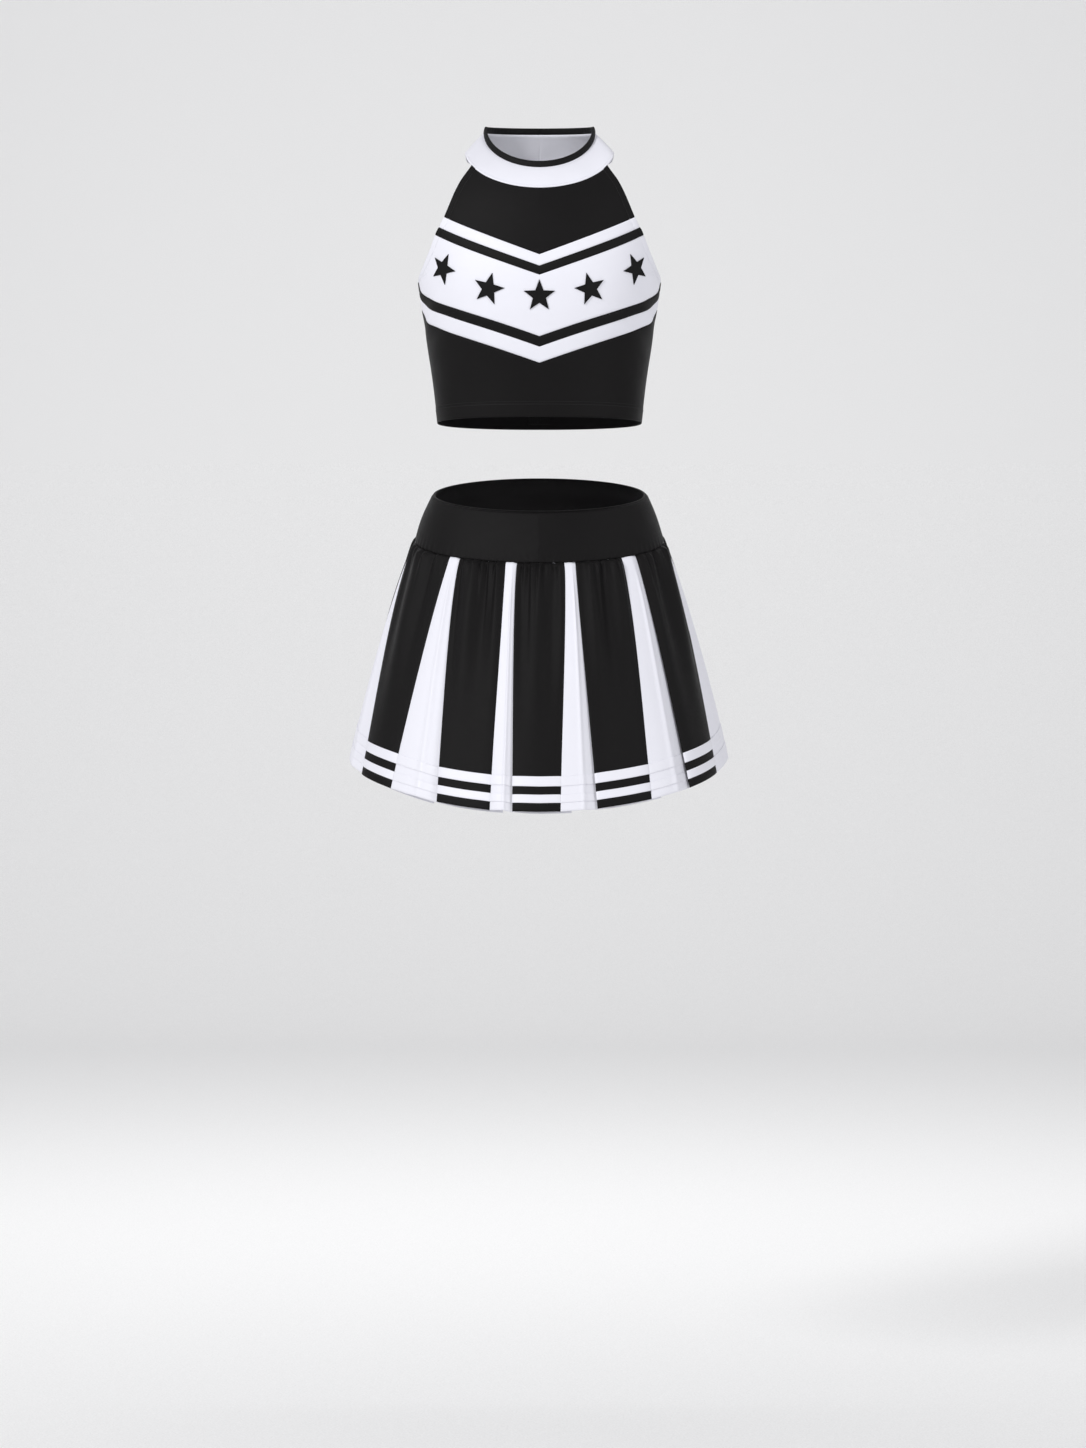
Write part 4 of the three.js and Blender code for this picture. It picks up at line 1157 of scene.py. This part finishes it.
def build_closure():
    """A domed button with a rim on the collar's left end, and an elastic loop from its right end."""
    low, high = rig.box("collar_button")
    middle = (np.asarray(low) + np.asarray(high)) / 2
    step = collar_grid(4, 10)[-1]
    slope = unit(step[7] - step[3])
    out = unit(-np.cross((1.0, 0, 0), slope))
    if out[1] < 0:
        out = -out
    seat = middle - out * 2 * mm
    profile = [(radius * mm, height * mm) for radius, height in BUTTON_PROFILE]
    knob = lathe("collar_button_domed", profile, seat, out, button_plastic)
    settle(knob, "crop_top", "button_plastic", "collar_button")
    inner = 1.8 * mm + 0.4 * mm + LOOP_RADIUS
    turn = np.linspace(-math.pi / 2, math.pi / 2, 40)
    tail = np.linspace(-BUTTON_OFFSET - LOOP_TAIL, 0, 60)[:-1]
    x = np.concatenate([tail, inner * np.cos(turn), tail[::-1]])
    y = np.concatenate([0 * tail - inner, inner * np.sin(turn), 0 * tail + inner])
    path = seat + np.outer(x, (1.0, 0, 0)) + np.outer(y, slope) + out * (LOOP_RADIUS + 0.1 * mm)
    loop = tube("collar_loop_elastic", path, LOOP_RADIUS, black_elastic)
    settle(loop, "crop_top", "elastic", "collar_loop")


def finish_zip_metal():
    """The slider, pull and stop keep their CAD shape, with their edges rounded over."""
    for node, rounding in (("zip_slider", 0.5 * mm), ("zip_pull", 0.4 * mm), ("zip_bottom_stop", 0.5 * mm)):
        part = frame["nodes"][node]
        part.data.materials.clear()
        part.data.materials.append(zip_metal)
        bevel = part.modifiers.new("rounded", "BEVEL")
        bevel.width = rounding
        bevel.segments = 4
        bevel.limit_method = "ANGLE"
        bevel.angle_limit = math.radians(40)


chest_stars = [build_star(index) for index in range(STAR_COUNT)]
facing_pair = [build_armhole(1, "left"), build_armhole(-1, "right")]
build_panels("front", FRONT_BANDS, FRONT_SHARES, stars=chest_stars, facings=facing_pair)
build_panels("back_left", BACK_BANDS, BACK_SHARES[::-1])
build_panels("back_right", BACK_BANDS, BACK_SHARES, side=-1)
build_collar(build_binding())
build_stitching()
build_zip()
build_closure()
finish_zip_metal()


# ---- skirt

PLEAT_BEND = 45 * mm  # the pleat's cloth bends from the band over this length
LEAF_VISIBLE = 0.55  # share of a leaf's columns that lies between two pleats
LEAF_TRIMMED = 0.62  # share of its columns that the hem ribbons run across
LEAF_SEAM_TUCK = 0.045  # how far it runs on behind the next pleat at the seam, in pitches
RIBBON_LIFT = 0.55 * mm
RIBBON_THICK = 0.5 * mm
BAND_COLUMNS = 480
BAND_ROWS = 44
FOLDS_PER_PLEAT = (7.2, 12.6, 2.3)  # fine, finer and broad gathers
FOLD_RELIEF = (2.7 * mm, 0.8 * mm, 3.4 * mm)
FINE_FADE = 30 * mm  # lengths over which the gathers die out below the seam
FINER_FADE = 12 * mm
BROAD_MIDDLE = 60 * mm
BROAD_RANGE = 95 * mm
SEAM_PUFF = 2.4 * mm
PUFF_AT = 11 * mm


def ring_point(ring, share):
    """Point of a skirt ring at a share of its way round from the front."""
    half, depth, height = ring
    turn = np.linspace(-math.pi / 2, 1.5 * math.pi, 4001)
    curve = np.stack([half * np.cos(turn), depth * np.sin(turn)], -1)
    reach = run_of(curve)
    angle = np.interp(share - np.floor(share), reach / reach[-1], turn)
    x, y = half * np.cos(angle), depth * np.sin(angle)
    return np.stack([x, y, height + TILT * y], -1)


def strayed(position, share, sway):
    """Where a pitch position round a ring really lies once each pleat has strayed."""
    knots, moved = [], []
    for i in range(-1, PLEATS + 2):
        for side, stray in zip((-1, 1), sway[i % PLEATS]):
            knots.append(i + side * share / 2)
            moved.append(i + side * share / 2 + stray)
    return np.interp(position, knots, moved)


FRONT_CENTRE = np.array(0.0)
SKIRT_LENGTH = np.linalg.norm(ring_point(HEM_RING, FRONT_CENTRE) - ring_point(SEAM_EDGE, FRONT_CENTRE))


def skirt_base(seam_position, hem_position, down):
    """Ruled surface of the skirt; positions count pleats round from the front and down is 0 to 1."""
    seam = ring_point(SEAM_EDGE, strayed(seam_position, PLEAT_SEAM_SHARE, SEAM_SWAY) / PLEATS)
    hem = ring_point(HEM_RING, strayed(hem_position, PLEAT_HEM_SHARE, HEM_SWAY) / PLEATS)
    hem[..., 2] += HEM_SIDE_LIFT * np.abs(hem[..., 0] / HEM_RING[0]) ** 1.3 - HEM_DROP
    return seam * (1 - down)[..., None] + hem * down[..., None]


def belly(down):
    """How far the whole skirt stands out from the straight line between its seam and its hem."""
    return SKIRT_BELLY * np.sin(np.clip(down, 0, 1) ** 0.6 * math.pi)


def hem_wave(position):
    """Gentle swell of the skirt between pleats, strongest at the hem."""
    return 2.6 * mm * np.sin(position * 2.1 + 0.7) + 1.8 * mm * np.sin(position * 3.7 + 2.0)


def gathers(position, down, seed):
    """Fine folds that start at the waist seam and fade, with a few broad ones that run on."""
    metres = down * SKIRT_LENGTH
    turns = [position * 2 * math.pi * count for count in FOLDS_PER_PLEAT]
    phase = turns[0] + 1.3 * np.sin(position * 8 + seed) + seed
    fade = FINE_FADE * (0.8 + 0.4 * np.sin(position * 11 + 3 * seed))
    fine = FOLD_RELIEF[0] * np.sin(phase + 0.5 * np.sin(phase)) * np.exp(-metres / fade)
    finer = FOLD_RELIEF[1] * np.sin(turns[1] + 1.7 * seed) * np.exp(-metres / FINER_FADE)
    broad = FOLD_RELIEF[2] * np.sin(turns[2] + 2.3 * seed) * bell(metres - BROAD_MIDDLE, BROAD_RANGE)
    puff = SEAM_PUFF * metres / PUFF_AT * np.exp(1 - metres / PUFF_AT)
    sewn = 0.25 + 0.75 * ease(metres / (6 * mm))
    return sewn * (fine + finer + broad) + puff


def spread_out(points, down):
    """Widens a pleat about its middle column where the gathers let it stand open."""
    middle = points[points.shape[0] // 2][None]
    return middle + (points - middle) * (1 + PLEAT_SPREAD * np.sin(down ** 0.55 * math.pi))[..., None]


def pleat_grid(pleat, columns=72, rows=150):
    u = np.linspace(-1, 1, columns + 1)[:, None]
    down = np.linspace(1, 0, rows + 1)[None]
    seam = pleat + u * PLEAT_SEAM_SHARE / 2 + 0 * down
    hem = pleat + u * PLEAT_HEM_SHARE / 2 + 0 * down
    down = down + 0 * u
    base = spread_out(skirt_base(seam, hem, down), down)
    swell = down * (1 - u ** 4) * 2.2 * mm + down * hem_wave(hem) + belly(down)
    crease = -0.8 * mm * (1 - ease((1 - np.abs(u)) / 0.05))
    hem_ridge = -0.3 * mm * bell((1 - down) * SKIRT_LENGTH - SKIRT_HEM_TURN, 0.8 * mm)
    relief = swell + crease + hem_ridge + gathers(seam, down, 1.0 + pleat * 2.7) * (1 - np.abs(u) ** 6)
    return base + grid_normals(base) * relief[..., None]


def leaf_grid(pleat, columns=60, rows=120):
    """White leaf: from its own pleat's edge it sinks in behind the next pleat and lies flat there."""
    t = np.linspace(0, 1, columns + 1)[:, None]
    down = np.linspace(1, 0, rows + 1)[None]
    out = np.clip(t / LEAF_VISIBLE, 0, 1)
    tucked = np.clip((t - LEAF_VISIBLE) / (1 - LEAF_VISIBLE), 0, 1)
    seam_gap, hem_gap = 1 - PLEAT_SEAM_SHARE, 1 - PLEAT_HEM_SHARE
    seam = pleat + PLEAT_SEAM_SHARE / 2 + out * seam_gap + tucked * LEAF_SEAM_TUCK + 0 * down
    hem = pleat + PLEAT_HEM_SHARE / 2 + out * hem_gap + tucked * LEAF_TUCK[pleat] + 0 * down
    down = down + 0 * t
    base = skirt_base(seam, hem, down)
    sink = (1.5 + 2.9 * down) * mm * ease((out - 0.55) / 0.45) + 0.2 * mm
    crown = 1.6 * mm * down * np.sin(out * math.pi) * (1 - tucked)
    slack = 0.9 * mm * np.sin(down * 5 + pleat * 1.9) * np.sin(out * math.pi)
    slack = slack + 1.3 * mm * bell(out - 0.62, 0.07) * ease(down / 0.2) * (1 - tucked)
    follow = down * (2.2 * mm * tucked * (1 - tucked) * 2 + hem_wave(hem)) + belly(down)
    under = 3.6 * mm * ease(tucked / 0.3) * ease(down / 0.08) + 0.5 * mm * tucked
    relief = follow + crown + slack - sink - under
    return base + grid_normals(base) * relief[..., None]


def strip(points, low, high, lift):
    """Part of a hem-to-seam grid between two distances above the hem, raised off the cloth."""
    levels = np.linspace(low, high, 9)
    raised = points + grid_normals(points) * lift
    return np.stack([sample(levels, run_of(column), up) for column, up in zip(points, raised)])


def build_pleat(pleat):
    number = f"{pleat + 1:02d}"
    rides = f"pleat_{number}"
    joint = next(j for j in frame["joints"] if j["name"] == f"{rides}_flare")
    hinge = Vector(joint["pos_m"])
    black, white = pleat_grid(pleat), leaf_grid(pleat)
    middle = black[len(black) // 2]
    down_way = Vector(middle[0] - middle[-1]).normalized()
    line = strip(black, SKIRT_HEM_TURN, SKIRT_HEM_TURN + 0.2 * mm, 0.12 * mm)
    frames = stitch_frames(line[:, 0], grid_normals(line)[:, 0], 3.0 * mm)
    dashes = bar_mesh(f"{rides}_hem_stitching", frames, (2.2 * mm, 0.32 * mm, 0.28 * mm), black_thread)
    settle(dashes, rides, "black_knit")
    for name, points, slot in (("black", black, "black_knit"), ("white", white, "white_satin")):
        material, thickness = CLOTHS[slot]
        cloth = cloth_piece(f"{rides}_{name}_cloth", points, thickness, material)
        settle(cloth, None, slot, f"{rides}_{name}")
        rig.blend(cloth, "skirt_band", rides, start=hinge, end=hinge + down_way * PLEAT_BEND)
        shown = points if name == "black" else points[: int(len(points) * LEAF_TRIMMED)]
        trims = [dashes] if name == "black" else []
        for k, (low, high) in enumerate(RIBBONS):
            laid = strip(shown, low, high, RIBBON_LIFT)
            ribbon = cloth_piece(f"{rides}_ribbon_{k + 1}_{name}", laid, RIBBON_THICK, white_ribbon)
            trims.append(settle(ribbon, rides, "white_satin"))
        declare(cloth, points, held="gathered", rests_on=["waistband"], trims=trims)


def band_ring(inside, low, high, columns, rows):
    u = np.linspace(0, 1, columns + 1)
    v = np.linspace(low, high, rows + 1)
    grid = np.zeros((columns + 1, rows + 1, 3))
    for j, up in enumerate(v):
        ring = [a + (b - a) * up for a, b in zip(SEAM_RING, WAIST_RING)]
        swell = 2 * mm * math.sin(up * math.pi) - inside
        grid[:, j] = ring_point((ring[0] + swell, ring[1] + swell, ring[2]), u)
    grid[-1] = grid[0]
    return grid


def build_waist_fold():
    """The band's knit, turned over its top edge to the inside."""
    fold_points = []
    for turn in np.linspace(0, math.pi, 9):
        ring_in = 1.1 * mm + 1.6 * mm * (1 - math.cos(turn))
        lifted = band_ring(ring_in, 0.0, 1.0, BAND_COLUMNS, BAND_ROWS)[:, -1]
        lifted[:, 2] += 0.9 * mm * math.sin(turn) - 0.2 * mm
        fold_points.append(lifted)
    fold = np.stack(fold_points, 1)
    fold[-1] = fold[0]
    folded = cloth_piece("waistband_fold", fold, 0.5 * mm, black_knit, ring=True)
    return settle(folded, "skirt_band", "black_knit")


def build_waistband():
    points = band_ring(0, 0, 1, BAND_COLUMNS, BAND_ROWS)
    normals = grid_normals(points, ring=True)
    u = np.linspace(0, 1, BAND_COLUMNS + 1)[:, None]
    up = np.linspace(0, 1, BAND_ROWS + 1)[None]
    pucker = 0.45 * mm * np.sin(u * 2 * math.pi * 84 + 2 * np.sin(u * 2 * math.pi * 5)) * np.exp(-up / 0.1)
    soft = 0.5 * mm * np.sin(u * 2 * math.pi * 3 + 1) * np.sin(up * math.pi * 1.5)
    roll = -1.1 * mm * ease((up - 0.955) / 0.045) ** 2 - 0.5 * mm * ease((0.03 - up) / 0.03)
    points = points + normals * (pucker + soft + roll)[..., None]
    points[-1] = points[0]
    band = cloth_piece("waistband_cloth", points, 1.1 * mm, black_knit, ring=True)
    settle(band, "skirt_band", "black_knit", "waistband")
    declare(band, points, trims=[build_waist_fold()])
    elastic = band_ring(1.9 * mm, 0.08, 0.93, 360, 30)
    rib = 0.15 * mm * np.sin(np.linspace(0, 30, 31) * math.pi)[None, :, None]
    web = cloth_piece("waist_elastic_web", elastic + grid_normals(elastic, ring=True) * rib, 1.2 * mm,
                      elastic_web, ring=True)
    settle(web, "skirt_band", "elastic", "waist_elastic")
    declare(web, elastic)
    facing = band_ring(3.7 * mm, 0.0, 0.985, BAND_COLUMNS, 30)
    channel = 0.4 * mm * np.sin(np.linspace(0, 1, 31) * math.pi * 4)[None, :, None]
    facing = facing + grid_normals(facing, ring=True) * channel
    inner = cloth_piece("waistband_facing_cloth", facing, 0.9 * mm, black_knit, ring=True)
    settle(inner, "skirt_band", "black_knit", "waistband_facing")
    declare(inner, facing)


build_waistband()
for pleat_index in range(PLEATS):
    build_pleat(pleat_index)

with open("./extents.json", "w") as out_file:
    json.dump({"cad": [list(p) for p in cad_box], "visual": [list(p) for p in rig.bounds()]}, out_file)
